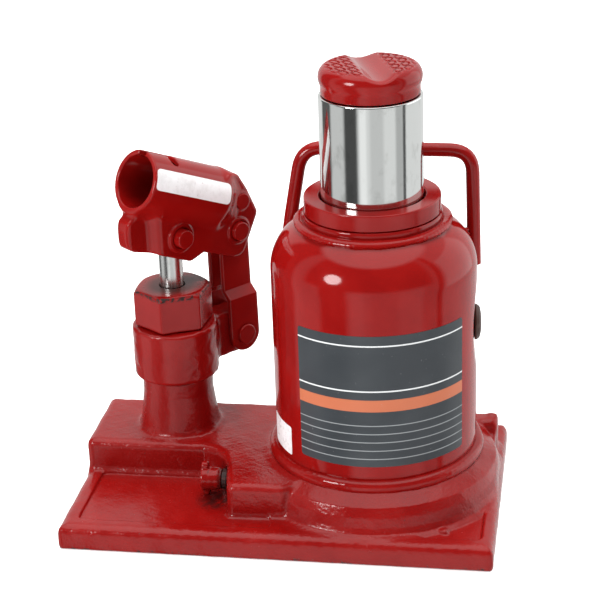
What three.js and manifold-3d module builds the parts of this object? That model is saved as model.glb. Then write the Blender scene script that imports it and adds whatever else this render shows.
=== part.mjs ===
// A low hydraulic bottle jack with a pump head that swivels round its own post.
// Millimetres, +Z up. The origin is where the ram's axis meets the underside of the base.
// +X points away from the pump along the base's long side, and -Y is the release valve's side.

import * as THREE from 'three';
import { mergeVertices } from 'three/addons/utils/BufferGeometryUtils.js';
import Module from 'manifold-3d';

const wasm = await Module();
wasm.setup();

// ---------------------------------------------------------------- driving dimensions

const GAP = 0.3;                 // clearance kept between pieces that touch or run in each other
const ROUND = 32;                // facets round the large turned pieces in view
const HIDDEN_ROUND = 24;         // facets round the large turned pieces inside
const SMALL_ROUND = 16;          // facets round pins, seals and small bores

const PLATE = { left: -149.3, right: 62.9, front: -69.4, back: 64, top: 12.5, corner: 5, edge: 1.6 };
const PLATFORM = { left: -148.6, right: 58.6, front: -10.6, back: 41.6, top: 29.6, edge: 1.8 };
const VALVE_BLOCK = { left: -70.5, right: -40, front: -50.5 };
// The drip pan lies under the release valve, and its match past the tank.
const PAN = { left: -140.3, right: -46, front: -59.5, back: -11.5, depth: 1.3 };
const END_PAN = { left: 22, right: 56.5, front: -60.5, back: 18, depth: 1 };
const BOSS = { foot: 65.6, ridge: 57.6, ridgeZ: 25.8, lip: 50.8, lipZ: 31.6 };

const TANK = { radius: 50, wall: 3.5, bottom: 26.3, shoulderZ: 127, shoulder: 25, neck: 33.6, top: 155 };
const FILLER = {
  z: 96.5, azimuth: 5, hole: 4.3, spotFace: 9.5, padRadius: 13, dentRadius: 84, dentDepth: 2.7, stem: 7,
};

const SEAT_Z = 20;               // floor under the pressure cylinder
const CYLINDER = { bore: 27, radius: 33.5, top: 139.4 };
const GASKET_THICK = 2;
const NUT = { radius: 32.9, thread: 31.2, flangeZ: 155.4, top: 163.45, bore: 25.1, mouth: 25.9 };
const GLAND_SEAL = { radius: 27.9, low: 146.3, high: 150.1 };

const RAM = { radius: 24.65, bottom: 71, top: 212.7, spigot: 15, saddleHole: 10.3 };
const PISTON = { radius: 26.6, top: 106, skirt: 92, sealZ: 78, core: 19.5 };
const SADDLE = { radius: 24.6, topRadius: 21.6, neck: 23.4, bottom: 213, underside: 215.3, top: 227 };
const GROOVE = { azimuth: -70, radius: 9, depth: 3.4 };

const PUMP = { x: -104.4, y: 15.4, azimuth: 50 };          // the post's axis, and where the links lie from it
const POST = { foot: 20.3, shoulder: 17.9, shoulderZ: 58.9, spigot: 14, top: 87 };
const COLLAR = { radius: 21.5, bottom: 59.4, top: 86.8, edge: 1.6 };
const EAR = { reach: 46, halfWidth: 7.7, bottom: 60.7, top: 84.5 };
const HEX = { acrossFlats: 35, bottom: 87.4, top: 106.9, cornerAzimuth: -95.5 };
const PUMP_STEM = { radius: 10.5, bottom: 40 };
const PLUNGER = { radius: 6, bottom: 55, eyeRadius: 7.4, eyeHalfWidth: 6 };
const PACKING = { radius: 8.7, low: 96, high: 100 };
const WIPER = { radius: 8.1, low: 101.6, high: 103.3 };

// pivots of the pump head, as distance from the pump's axis and height
const PLUNGER_PIVOT = { s: 0, z: 134.5 };
const UPPER_PIVOT = { s: 36.5, z: 128.5 };
const LOWER_PIVOT = { s: 37.5, z: 71.2 };
const RIVET_PLACE = { s: 39.4, z: 143.5 };
const PIN_RADIUS = 4;
const UPPER_EYE_CLEARANCE = 2.3; // the linkage is opened at this pivot, so its eye is cut large

const FORK = {
  outer: 9.7, sheet: 2.9, lug: 4.6, lugFront: -29.5, flareStart: -16, flareEnd: -11.5, back: 60,
  low: 105, high: 185,
};
const SOCKET = { s: -18.4, z: 166.4, tilt: 23.5, outer: 15.7, bore: 13.2, length: 58 };
const LINK = { thick: 3, upperInner: 3.5, lowerInner: 8, halfWidth: 8.2, bendLow: 87, bendHigh: 95 };

const VALVE = { y: -28.5, z: 21, stem: 5, neck: 3.4, bore: 5.4, face: -84.5, tip: -50.5, seat: -42.5 };
const BAIL = { radius: 3.4, footY: 27, topY: 31.5, foot: 118, top: 175.2, corner: 11 };

const BALL = { suction: 3.6, discharge: 3.2, release: 3, safety: 2.4 };
const SUCTION = { seatZ: 16, passageZ: 7, riserX: -40, riserY: 14, pocket: 6.5 };
const DISCHARGE = { x: -16, y: -8, seatZ: 9, pocket: 4.6 };
const SAFETY = { x: -58, z: 20, pocket: 4.3, seatY: 18 };
const PASSAGE = 2;               // radius of the oil drillings

// ---------------------------------------------------------------- materials

const paint = (color) => new THREE.MeshStandardMaterial({ color, roughness: 0.32, metalness: 0 });
const metal = (color, roughness) => new THREE.MeshStandardMaterial({ color, roughness, metalness: 1 });
const rubber = (color) => new THREE.MeshStandardMaterial({ color, roughness: 0.8, metalness: 0 });

const RED = paint(0xb01c18);
const CHROME = metal(0xd8dcdc, 0.12);
const STEEL = metal(0x9a9c9e, 0.35);
const SPRING_STEEL = metal(0x6f7377, 0.4);
const COPPER = metal(0xb87333, 0.4);
const BLACK_RUBBER = rubber(0x1b1b1c);
const BROWN_RUBBER = rubber(0x3a2019);
const SEAL = rubber(0x2f5f8a);

// ---------------------------------------------------------------- solids

function solid(geometry) {
  const bare = geometry.index ? geometry.toNonIndexed() : geometry.clone();
  bare.deleteAttribute('normal');
  bare.deleteAttribute('uv');
  const merged = mergeVertices(bare, 1e-4);
  return new wasm.Manifold(new wasm.Mesh({
    numProp: 3,
    vertProperties: new Float32Array(merged.attributes.position.array),
    triVerts: new Uint32Array(merged.index.array),
  }));
}

function geometryOf(manifold) {
  const cut = manifold.getMesh();
  const geometry = new THREE.BufferGeometry();
  geometry.setAttribute('position', new THREE.BufferAttribute(new Float32Array(cut.vertProperties), 3));
  geometry.setIndex(new THREE.BufferAttribute(new Uint32Array(cut.triVerts), 1));
  geometry.computeVertexNormals();
  return geometry;
}

const join = (first, ...rest) => rest.reduce((sum, next) => sum.add(next), first);
const cut = (first, ...rest) => rest.reduce((sum, next) => sum.subtract(next), first);

function place(geometry, x, y, z) {
  return geometry.clone().translate(x, y, z);
}

// A body turned about Z from [radius, z] points; it starts and ends on the axis.
function turned(points, segments = ROUND) {
  const section = points.map(([r, z]) => new THREE.Vector2(r, z));
  return new THREE.LatheGeometry(section, segments).rotateX(Math.PI / 2);
}

// A ring turned about Z: its section is closed on itself.
function ring(inner, outer, low, high, segments = ROUND) {
  return turned([[inner, low], [outer, low], [outer, high], [inner, high], [inner, low]], segments);
}

function rod(radius, low, high, segments = SMALL_ROUND) {
  return turned([[0, low], [radius, low], [radius, high], [0, high]], segments);
}

// A rod between two points, for drillings that run at a slant.
function drilling(from, to, radius, segments = 10) {
  const start = new THREE.Vector3(...from);
  const along = new THREE.Vector3(...to).sub(start);
  const upright = new THREE.Vector3(0, 0, 1);
  const turn = new THREE.Quaternion().setFromUnitVectors(upright, along.clone().normalize());
  return rod(radius, 0, along.length(), segments).applyQuaternion(turn).translate(...from);
}

function box(low, high) {
  const size = high.map((value, axis) => value - low[axis]);
  const middle = high.map((value, axis) => (value + low[axis]) / 2);
  return place(new THREE.BoxGeometry(...size), ...middle);
}

function outline(points) {
  return new THREE.Shape(points.map(([x, y]) => new THREE.Vector2(x, y)));
}

// A plate cut from an X-Z outline and standing between two Y faces.
function sidePlate(shape, nearY, farY, curveSegments = 6) {
  const plate = new THREE.ExtrudeGeometry(shape, { depth: farY - nearY, bevelEnabled: false, curveSegments });
  return plate.rotateX(Math.PI / 2).translate(0, farY, 0);
}

// A slab standing up from an X-Y outline, with its upper and lower edges bevelled inwards.
function slab(shape, low, high, bevel, curveSegments = 4) {
  const settings = bevel > 0
    ? { bevelEnabled: true, bevelThickness: bevel, bevelSize: bevel, bevelOffset: -bevel, bevelSegments: 1 }
    : { bevelEnabled: false };
  const depth = high - low - 2 * bevel;
  return new THREE.ExtrudeGeometry(shape, { depth, curveSegments, ...settings }).translate(0, 0, low + bevel);
}

function roundedRectangle(left, right, front, back, radius) {
  const shape = new THREE.Shape();
  shape.moveTo(left + radius, front);
  shape.lineTo(right - radius, front);
  shape.absarc(right - radius, front + radius, radius, -Math.PI / 2, 0, false);
  shape.absarc(right - radius, back - radius, radius, 0, Math.PI / 2, false);
  shape.absarc(left + radius, back - radius, radius, Math.PI / 2, Math.PI, false);
  shape.absarc(left + radius, front + radius, radius, Math.PI, Math.PI * 1.5, false);
  return shape;
}

function arcPoints(centreR, centreZ, radius, fromAngle, toAngle, steps) {
  return Array.from({ length: steps + 1 }, (_, i) => {
    const angle = fromAngle + (toAngle - fromAngle) * i / steps;
    return [centreR + radius * Math.cos(angle), centreZ + radius * Math.sin(angle)];
  });
}

// A round wire along a curve.
function wire(curve, radius, sides, steps) {
  const section = outline(arcPoints(0, 0, radius, 0, 2 * Math.PI * (1 - 1 / sides), sides - 1));
  return new THREE.ExtrudeGeometry(section, { steps, extrudePath: curve, bevelEnabled: false });
}

class Helix extends THREE.Curve {
  constructor(radius, height, turns) {
    super();
    Object.assign(this, { radius, height, turns });
  }

  getPoint(t, target = new THREE.Vector3()) {
    const angle = 2 * Math.PI * this.turns * t;
    return target.set(this.radius * Math.cos(angle), this.radius * Math.sin(angle), this.height * t);
  }
}

function coilSpring(radius, wireRadius, height, turns) {
  return wire(new Helix(radius, height - 2 * wireRadius, turns), wireRadius, 5, Math.round(turns * 8))
    .translate(0, 0, wireRadius);
}

const degrees = THREE.MathUtils.degToRad;
const jack = new THREE.Group();
// The pump head's group: X runs from the pump's axis to the links, and Y away from the head's near side.
const head = new THREE.Group();
head.position.set(PUMP.x, PUMP.y, 0);
head.rotation.z = degrees(PUMP.azimuth);
jack.add(head);

function addPart(group, name, shape, material) {
  const geometry = shape instanceof THREE.BufferGeometry ? shape : geometryOf(shape);
  const mesh = new THREE.Mesh(geometry, material);
  mesh.name = name;
  group.add(mesh);
  return mesh;
}

// ---------------------------------------------------------------- base casting

function basePlate() {
  const shape = roundedRectangle(PLATE.left, PLATE.right, PLATE.front, PLATE.back, PLATE.corner);
  return solid(slab(shape, 0, PLATE.top, PLATE.edge));
}

function basePlatform() {
  const insideBoss = 30;
  const bar = 8.6;               // depth of the bar that runs on behind the tank
  const shape = outline([
    [PLATFORM.left, PLATFORM.front],
    [VALVE_BLOCK.left, PLATFORM.front],
    [VALVE_BLOCK.left, VALVE_BLOCK.front],
    [VALVE_BLOCK.right, VALVE_BLOCK.front],
    [insideBoss, 0],
    [insideBoss, PLATFORM.back - bar],
    [PLATFORM.right, PLATFORM.back - bar],
    [PLATFORM.right, PLATFORM.back],
    [PLATFORM.left, PLATFORM.back],
  ]);
  return solid(slab(shape, PLATE.top - 5, PLATFORM.top, PLATFORM.edge));
}

// The thin web that falls from the bar to the plate along the right edge.
function endRib() {
  const thick = 4.4;
  const reach = 18.5;
  const barFront = PLATFORM.back - 6;
  const foot = PLATE.top - 2;
  const slope = outline([[0, foot], [reach + 4, foot], [0, PLATFORM.top - 1]]);
  const web = new THREE.ExtrudeGeometry(slope, { depth: thick, bevelEnabled: false });
  return solid(web.rotateX(Math.PI / 2).rotateZ(-Math.PI / 2)
    .translate(PLATFORM.right - thick, barFront, 0));
}

function tankBoss() {
  const buried = 4;
  const wall = arcPoints(BOSS.foot + 2, 22, 8.6, Math.PI * 1.36, Math.PI * 1.02, 3);
  const profile = [[0, buried], [BOSS.foot, buried], ...wall, [BOSS.ridge, BOSS.ridgeZ],
    [BOSS.lip + 2, BOSS.lipZ - 1.6], [BOSS.lip, BOSS.lipZ], [0, BOSS.lipZ]];
  const clip = box([PLATE.left, PLATE.front + 1, 1], [PLATE.right - 1, PLATE.back - 1, 60]);
  return solid(turned(profile)).intersect(solid(clip));
}

function pumpPost() {
  const { foot, shoulder, shoulderZ, spigot, top } = POST;
  const fillet = 2.5;
  const buried = PLATFORM.top - 9.6;
  const straightFrom = 50;
  const profile = [[0, buried], [foot + fillet, buried], [foot + fillet, PLATFORM.top],
    [foot, PLATFORM.top + fillet], [shoulder, straightFrom], [shoulder, shoulderZ], [spigot, shoulderZ],
    [spigot, top], [0, top]];
  return solid(place(turned(profile, 28), PUMP.x, PUMP.y, 0));
}

// Suction: tank floor, riser, cross drilling, ball seat. Discharge: pump chamber, slant drilling, ball pocket.
function oilWays() {
  const seatHole = 2.5;
  const { seatZ, passageZ, riserX, riserY, pocket } = SUCTION;
  const onPump = (z, aside = 0) => [PUMP.x + aside, PUMP.y, z];
  const onRiser = (z) => [riserX, riserY, z];
  const onDischarge = (z) => [DISCHARGE.x, DISCHARGE.y, z];
  return [
    solid(drilling(onPump(seatZ), onPump(PUMP_STEM.bottom + 1), pocket, SMALL_ROUND)),
    solid(drilling(onPump(passageZ), onPump(seatZ + 1), seatHole)),
    solid(drilling(onPump(passageZ), onRiser(passageZ), PASSAGE)),
    solid(drilling(onRiser(passageZ - PASSAGE), onRiser(TANK.bottom + 1), PASSAGE)),
    solid(drilling(onPump(seatZ + 4, 3), onDischarge(DISCHARGE.seatZ - 2.5), PASSAGE)),
    solid(drilling(onDischarge(DISCHARGE.seatZ - 3), onDischarge(DISCHARGE.seatZ + 1), PASSAGE)),
    solid(drilling(onDischarge(DISCHARGE.seatZ), onDischarge(SEAT_Z + 1), DISCHARGE.pocket, SMALL_ROUND)),
  ];
}

function releaseBore() {
  const riserX = -33;
  const along = (x, z = VALVE.z) => [x, VALVE.y, z];
  return [
    solid(drilling(along(VALVE_BLOCK.left - 5), along(VALVE.seat), VALVE.bore, 14)),
    solid(drilling(along(VALVE.seat - 1), along(riserX), PASSAGE)),
    solid(drilling(along(riserX, VALVE.z - PASSAGE), along(riserX, TANK.bottom + 1), PASSAGE)),
  ];
}

function safetyBore() {
  const mouth = PLATFORM.back + 1;
  return [
    solid(drilling([SAFETY.x, mouth, SAFETY.z], [SAFETY.x, SAFETY.seatY, SAFETY.z], SAFETY.pocket, 14)),
    solid(drilling([SAFETY.x, SAFETY.seatY + 1, SAFETY.z], [SAFETY.x, SAFETY.seatY - 8, SAFETY.z], 1.6, 8)),
  ];
}

// The shallow hollow of a pan in the plate's face, left out where the platform, rib and boss stand.
function panHollow({ left, right, front, back, depth }) {
  const hollow = box([left, front, PLATE.top - depth], [right, back, PLATE.top + 0.01]);
  return solid(hollow).subtract(join(basePlatform(), endRib(), tankBoss()));
}

function baseCasting() {
  const body = join(basePlate(), basePlatform(), endRib(), tankBoss(), pumpPost());
  const aboveAll = PLATFORM.top + 10;
  const tankSeat = rod(TANK.radius + GAP, TANK.bottom - GAP, aboveAll, ROUND);
  const cylinderSeat = rod(CYLINDER.radius + GAP, SEAT_Z, aboveAll, ROUND);
  const stemBore = place(rod(PUMP_STEM.radius + GAP, PUMP_STEM.bottom - GAP, POST.top + 1), PUMP.x, PUMP.y, 0);
  return cut(body, panHollow(PAN), panHollow(END_PAN), solid(tankSeat), solid(cylinderSeat), solid(stemBore),
    ...oilWays(), ...releaseBore(), ...safetyBore());
}

// ---------------------------------------------------------------- tank, cylinder and gland

function fillerFrame(geometry) {
  // built along +Z with the tank's axis at the origin, then laid out along the filler's own direction
  return geometry.rotateY(Math.PI / 2).rotateZ(degrees(FILLER.azimuth)).translate(0, 0, FILLER.z);
}

function reservoirTank() {
  const { radius, wall, shoulder, shoulderZ, neck } = TANK;
  const neckHole = NUT.thread + GAP;
  const threadFoot = 145;
  const beadFoot = 38;           // where the shoulder's arc ends against the neck's weld bead
  const bead = [[36.4, 150.2], [neck, 151.6]];
  const centre = radius - shoulder;
  const outerEnd = Math.acos((beadFoot - centre) / shoulder);
  const inner = shoulder - wall;
  const innerEnd = Math.asin((threadFoot - shoulderZ) / inner);
  const profile = [
    [radius - wall, TANK.bottom], [radius, TANK.bottom],
    ...arcPoints(centre, shoulderZ, shoulder, 0, outerEnd, 6), ...bead,
    [neck, TANK.top], [neckHole, TANK.top], [neckHole, threadFoot],
    ...arcPoints(centre, shoulderZ, inner, innerEnd, 0, 3), [radius - wall, TANK.bottom],
  ];
  const pad = fillerFrame(rod(FILLER.padRadius, radius - 9, radius - 1.5, 24));
  const dentCentre = radius - FILLER.dentDepth + FILLER.dentRadius;
  const dent = fillerFrame(place(new THREE.SphereGeometry(FILLER.dentRadius, 36, 24), 0, 0, dentCentre));
  const hole = fillerFrame(rod(FILLER.hole, radius - 12, radius + 2, 16));
  const spotFace = fillerFrame(rod(FILLER.spotFace, radius - FILLER.dentDepth, radius + 2, 24));
  return cut(join(solid(turned(profile, 36)), solid(pad)), solid(dent), solid(spotFace), solid(hole));
}

function fillerPlug() {
  const floor = TANK.radius - FILLER.dentDepth;
  const headRadius = 9;
  const crown = 3.3;
  const rim = floor + 1.6;
  const shank = FILLER.hole - GAP;
  const end = floor - FILLER.stem;
  const dome = arcPoints(0, 0, headRadius, 0, Math.PI / 2, 4).slice(0, -1)
    .map(([r, height]) => [r, rim + height * crown / headRadius]);
  return fillerFrame(turned([[0, end], [shank, end], [shank, rim], ...dome, [0, rim + crown]], 18));
}

function fillerWasher() {
  const floor = TANK.radius - FILLER.dentDepth;
  return fillerFrame(ring(FILLER.hole, 8.2, floor + GAP, floor + 1.3, 20));
}

function glandNut() {
  const { radius, thread, flangeZ, top, bore, mouth } = NUT;
  const groove = GLAND_SEAL.radius + GAP;
  const sealLow = GLAND_SEAL.low - GAP;
  const sealHigh = GLAND_SEAL.high + GAP;
  const foot = CYLINDER.top + GAP;
  const edge = 0.6;
  return turned([
    [bore, foot], [thread, foot], [thread, flangeZ], [radius, flangeZ], [radius, top - edge],
    [radius - edge, top], [mouth, top], [bore, top - 1], [bore, sealHigh], [groove, sealHigh],
    [groove, sealLow], [bore, sealLow], [bore, foot],
  ], 28);
}

// ---------------------------------------------------------------- ram, piston and saddle

function ramBody() {
  const { radius, bottom, top, spigot } = RAM;
  const shoulder = PISTON.top + GAP;
  const body = turned([[0, bottom], [spigot, bottom], [spigot, shoulder], [radius, shoulder],
    [radius, top - 0.8], [radius - 0.8, top], [0, top]]);
  return cut(solid(body), solid(rod(RAM.saddleHole, top - 22, top + 1)));
}

function pistonHead() {
  const { radius, top, skirt, sealZ, core } = PISTON;
  const bore = RAM.spigot + GAP;
  return turned([[bore, sealZ], [core, sealZ], [core, skirt - 1], [radius, skirt], [radius, top - 1],
    [radius - 1, top], [bore, top], [bore, sealZ]], HIDDEN_ROUND);
}

function pistonNut() {
  const bore = RAM.spigot + GAP;
  const flat = 23;
  const hexagon = rod(flat, RAM.bottom, PISTON.sealZ - GAP, 6);
  return cut(solid(hexagon), solid(rod(bore, RAM.bottom - 1, PISTON.sealZ + 1)));
}

function pistonCup() {
  const { radius, core } = PISTON;
  const low = PISTON.sealZ + GAP;
  return turned([[core + GAP, low], [core + 2.2, low], [core + 3, low + 3.4], [radius - 1.4, low + 3.4],
    [radius - 0.6, low], [radius, low], [radius, low + 7], [core + GAP, low + 7],
    [core + GAP, low]], HIDDEN_ROUND);
}

function saddleBody() {
  const { radius, topRadius, neck, bottom, underside, top } = SADDLE;
  const middle = (underside + top) / 2;
  const stem = RAM.saddleHole - GAP;
  const profile = [[0, RAM.top - 20], [stem, RAM.top - 20], [stem, bottom], [neck, bottom], [neck, underside],
    [neck + 0.4, underside], [radius - 0.4, underside + 1.8], [radius, middle], [radius - 0.3, top - 3.4],
    [topRadius + 1.3, top - 0.9], [topRadius, top], [0, top]];
  const grooveAxisZ = top - GROOVE.depth + GROOVE.radius;
  const groove = drilling([-40, 0, grooveAxisZ], [40, 0, grooveAxisZ], GROOVE.radius, 36)
    .rotateZ(degrees(GROOVE.azimuth));
  return cut(solid(turned(profile)), solid(groove), ...saddleTeeth());
}

// Shallow cross grooves that leave rows of raised pads on both halves of the saddle's face.
function saddleTeeth() {
  const pitch = 6.5;
  const depth = 0.9;
  const width = 1.5;
  const reach = SADDLE.radius + 5;
  return [-2, -1, 0, 1, 2].map((row) => {
    const y = row * pitch;
    const low = [-reach, y - width / 2, SADDLE.top - depth];
    const high = [reach, y + width / 2, SADDLE.top + 1];
    return solid(box(low, high).rotateZ(degrees(GROOVE.azimuth + 90)));
  });
}

// ---------------------------------------------------------------- pump post pieces

function pumpCylinder() {
  const { bottom, top, acrossFlats } = HEX;
  const corner = acrossFlats / Math.sqrt(3);
  const hexagon = new THREE.CylinderGeometry(corner, corner, top - bottom, 6).rotateX(Math.PI / 2)
    .rotateZ(degrees(HEX.cornerAzimuth + 90)).translate(0, 0, (top + bottom) / 2);
  const chamfer = turned([[0, bottom - 1], [corner + 2, bottom - 1], [corner + 2, top - 2.6],
    [acrossFlats / 2 - 0.4, top], [0, top]], 28);
  const stem = rod(PUMP_STEM.radius, PUMP_STEM.bottom, bottom + 2, 24);
  const bore = rod(PLUNGER.radius + GAP, PUMP_STEM.bottom - 1, top + 1);
  const mouth = rod(PLUNGER.radius + 1.2, WIPER.high + GAP, top + 1);
  const packingRoom = rod(PACKING.radius + GAP, PACKING.low - GAP, PACKING.high + GAP);
  const wiperRoom = rod(WIPER.radius + GAP, WIPER.low - GAP, WIPER.high + GAP);
  const body = join(solid(hexagon).intersect(solid(chamfer)), solid(stem));
  return cut(body, solid(bore), solid(mouth), solid(packingRoom), solid(wiperRoom));
}

function swivelCollar() {
  const { radius, bottom, top, edge } = COLLAR;
  const barrel = turned([[0, bottom], [radius - edge, bottom], [radius, bottom + edge],
    [radius, top - edge], [radius - edge, top], [0, top]], 32);
  const ear = box([0, -EAR.halfWidth, EAR.bottom], [EAR.reach, EAR.halfWidth, EAR.top]);
  const pinHole = pinBore(LOWER_PIVOT, PIN_RADIUS + GAP);
  const bore = rod(POST.spigot + GAP, bottom - 1, top + 1, 28);
  return cut(join(solid(barrel), solid(ear)), solid(bore), pinHole);
}

function pinBore(pivot, radius) {
  const half = 25;
  return solid(drilling([pivot.s, -half, pivot.z], [pivot.s, half, pivot.z], radius, 16));
}

function plungerRod() {
  const { radius, bottom, eyeRadius, eyeHalfWidth } = PLUNGER;
  const { s, z } = PLUNGER_PIVOT;
  const eye = drilling([s, -eyeHalfWidth, z], [s, eyeHalfWidth, z], eyeRadius, 20);
  const shaft = rod(radius, bottom, z, 20);
  return cut(join(solid(shaft), solid(eye)), pinBore(PLUNGER_PIVOT, PIN_RADIUS + GAP));
}

// ---------------------------------------------------------------- handle socket and links

// Places a piece built along +Z on the socket's axis, with its mouth at the origin and -X upwards.
function alongSocket(geometry) {
  return geometry.rotateY(Math.PI / 2 + degrees(SOCKET.tilt)).translate(SOCKET.s, 0, SOCKET.z);
}

function socketSideOutline() {
  const slope = Math.tan(degrees(SOCKET.tilt));
  const axisAt = (s) => SOCKET.z - (s - SOCKET.s) * slope;
  const roof = SOCKET.outer / Math.cos(degrees(SOCKET.tilt));
  const shape = new THREE.Shape();
  shape.moveTo(FORK.lugFront, 152);
  shape.lineTo(FORK.lugFront, 138);
  shape.quadraticCurveTo(FORK.lugFront, 132.6, -24, 131.6);
  shape.lineTo(-13.3, 128.4);
  shape.lineTo(6.1, 119.7);
  shape.lineTo(14.5, 122.4);
  shape.lineTo(33, 114.6);
  shape.quadraticCurveTo(39.5, 113.8, 42, 119);
  shape.lineTo(50.3, 135.2);
  shape.lineTo(44, 149);
  shape.lineTo(38.2, axisAt(38.2) + roof);
  shape.lineTo(30, axisAt(30) + roof - 3);
  shape.lineTo(-15, axisAt(-15));
  return shape;
}

// The fork seen from above: a narrow fold of sheet in front, flaring out to the two cheeks.
function forkPlan() {
  const { lug, lugFront, outer, flareStart, flareEnd, back } = FORK;
  const shape = new THREE.Shape();
  shape.absarc(lugFront + lug, 0, lug, Math.PI / 2, Math.PI * 1.5, false);
  shape.lineTo(flareStart, -lug);
  shape.lineTo(flareEnd, -outer);
  shape.lineTo(back, -outer);
  shape.lineTo(back, outer);
  shape.lineTo(flareEnd, outer);
  shape.lineTo(flareStart, lug);
  return shape;
}

function forkSkin() {
  const skin = solid(slab(forkPlan(), FORK.low, FORK.high, 0, 8));
  return skin.intersect(solid(sidePlate(socketSideOutline(), -2 * FORK.outer, 2 * FORK.outer)));
}

// The room between the fork's cheeks for the plunger and the links; the sheet closes over it as a roof.
function forkRoom() {
  const inner = FORK.outer - FORK.sheet;
  const underRoof = outline([[-9.5, 90], [61, 90], [61, 131], [36, 149.5], [33, 154], [-9.5, 158]]);
  return solid(sidePlate(underRoof, -inner, inner));
}

function handleSocket() {
  const { outer, bore, length } = SOCKET;
  const tube = alongSocket(turned([[0, 0], [outer, 0], [outer, length - 12], [FORK.outer, length - 1],
    [0, length - 1]], 28));
  const hollow = alongSocket(turned([[0, -1], [bore, -1], [bore, length - 14],
    [FORK.outer - FORK.sheet, length - 4], [0, length - 4]], 28));
  const slotWidth = 5;
  const slotLength = 18;
  const hookReach = 10;
  const slot = alongSocket(box([-outer - 2, -slotWidth / 2, -1], [0, slotWidth / 2, slotLength]));
  const hook = alongSocket(box([-outer - 2, -hookReach, slotLength - slotWidth], [-bore * 0.6, 0, slotLength]));
  return cut(join(forkSkin(), solid(tube)), forkRoom(), solid(hollow), solid(slot), solid(hook),
    pinBore(PLUNGER_PIVOT, PIN_RADIUS + GAP), pinBore(UPPER_PIVOT, PIN_RADIUS + GAP), pinBore(RIVET_PLACE, 3));
}

// One of the pair of joggled links: close together inside the fork, wide apart round the collar's ear.
function pumpLink(side) {
  const { thick, upperInner, lowerInner, halfWidth, bendLow, bendHigh } = LINK;
  const low = LOWER_PIVOT.z - halfWidth;
  const high = UPPER_PIVOT.z + halfWidth;
  const bent = outline([[lowerInner, low], [lowerInner + thick, low], [lowerInner + thick, bendLow + 1],
    [upperInner + thick, bendHigh + 1], [upperInner + thick, high], [upperInner, high], [upperInner, bendHigh],
    [lowerInner, bendLow]]);
  const strip = new THREE.ExtrudeGeometry(bent, { depth: 40, bevelEnabled: false })
    .rotateX(Math.PI / 2).rotateZ(Math.PI / 2).translate(LOWER_PIVOT.s - 20, 0, 0);
  const face = new THREE.Shape();
  face.absarc(LOWER_PIVOT.s, LOWER_PIVOT.z, halfWidth + 0.5, Math.PI, Math.PI * 2, false);
  face.absarc(UPPER_PIVOT.s, UPPER_PIVOT.z, halfWidth, 0, Math.PI, false);
  const link = cut(solid(strip).intersect(solid(sidePlate(face, -20, 20, 8))),
    pinBore(LOWER_PIVOT, PIN_RADIUS + GAP), pinBore(UPPER_PIVOT, PIN_RADIUS + UPPER_EYE_CLEARANCE));
  return side < 0 ? link.mirror([0, 1, 0]) : link;
}

// A headed pin: its head stands on the near side, and a groove for a ring clip is cut near the far end.
function headedPin(pivot, plateFace, headRadius, headFace) {
  const clip = clipBand(plateFace);
  const grooveRadius = PIN_RADIUS - 0.9;
  const profile = [[0, -headFace], [headRadius - 0.5, -headFace], [headRadius, -headFace + 0.5],
    [headRadius, -plateFace - GAP], [PIN_RADIUS, -plateFace - GAP], [PIN_RADIUS, clip.low - 0.15],
    [grooveRadius, clip.low - 0.15], [grooveRadius, clip.high + 0.15], [PIN_RADIUS, clip.high + 0.15],
    [PIN_RADIUS, clip.high + 1.6], [0, clip.high + 1.6]];
  return turned(profile, 14).rotateX(-Math.PI / 2).translate(pivot.s, 0, pivot.z);
}

function clipBand(plateFace) {
  return { low: plateFace + GAP, high: plateFace + GAP + 1 };
}

// A split ring that snaps into the pin's groove; its gap faces down.
function ringClip(pivot, plateFace) {
  const { low, high } = clipBand(plateFace);
  const band = ring(PIN_RADIUS - 0.6, PIN_RADIUS + 1.8, low, high, 14).rotateX(-Math.PI / 2);
  const mouth = box([-2, low - 1, -10], [2, high + 1, 0]);
  return geometryOf(cut(solid(band), solid(mouth))).translate(pivot.s, 0, pivot.z);
}

function socketRivet() {
  const { s, z } = RIVET_PLACE;
  const shank = 2.7;
  const headFace = FORK.outer + 1;
  const half = [[3.4, FORK.outer + GAP], [3.4, headFace - 0.3], [3, headFace], [0, headFace]];
  const mirrored = half.map(([r, y]) => [r, -y]).reverse();
  return turned([...mirrored, [shank, -FORK.outer - GAP], [shank, FORK.outer + GAP], ...half], 12)
    .rotateX(-Math.PI / 2).translate(s, 0, z);
}

// ---------------------------------------------------------------- valves and carrying handle

function releaseScrew() {
  const { stem, neck, face, tip } = VALVE;
  const head = 5.6;
  const grooveStart = -74;
  const grooveEnd = VALVE_BLOCK.left - 0.6;
  const profile = [[0, face], [head, face], [head + 0.5, face + 1], [head, face + 4.4], [stem, face + 5.4],
    [stem, grooveStart], [neck, grooveStart], [neck, grooveEnd], [stem, grooveEnd], [stem, tip - 4],
    [1.6, tip], [0, tip]];
  const body = turned(profile, 14).rotateY(Math.PI / 2);
  const lugReach = 9.2;
  const lugHalf = 2;
  const lugs = box([face + GAP, -lugHalf, -lugReach], [face + 4, lugHalf, lugReach]);
  return geometryOf(join(solid(body), solid(lugs))).translate(0, VALVE.y, VALVE.z);
}

function releaseRing() {
  const band = ring(VALVE.neck + GAP, VALVE.stem + 0.1, -73.6, -71.5, SMALL_ROUND);
  return band.rotateY(Math.PI / 2).translate(0, VALVE.y, VALVE.z);
}

function ball(radius, x, y, z) {
  return place(new THREE.SphereGeometry(radius, 10, 7), x, y, z);
}

function safetyScrew() {
  const { x, z, pocket } = SAFETY;
  const face = PLATFORM.back - 2;
  const body = drilling([x, face - 7, z], [x, face, z], pocket - GAP, 14);
  const slot = box([x - 5, face - 1.6, z - 0.7], [x + 5, face + 1, z + 0.7]);
  return cut(solid(body), solid(slot));
}

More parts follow.
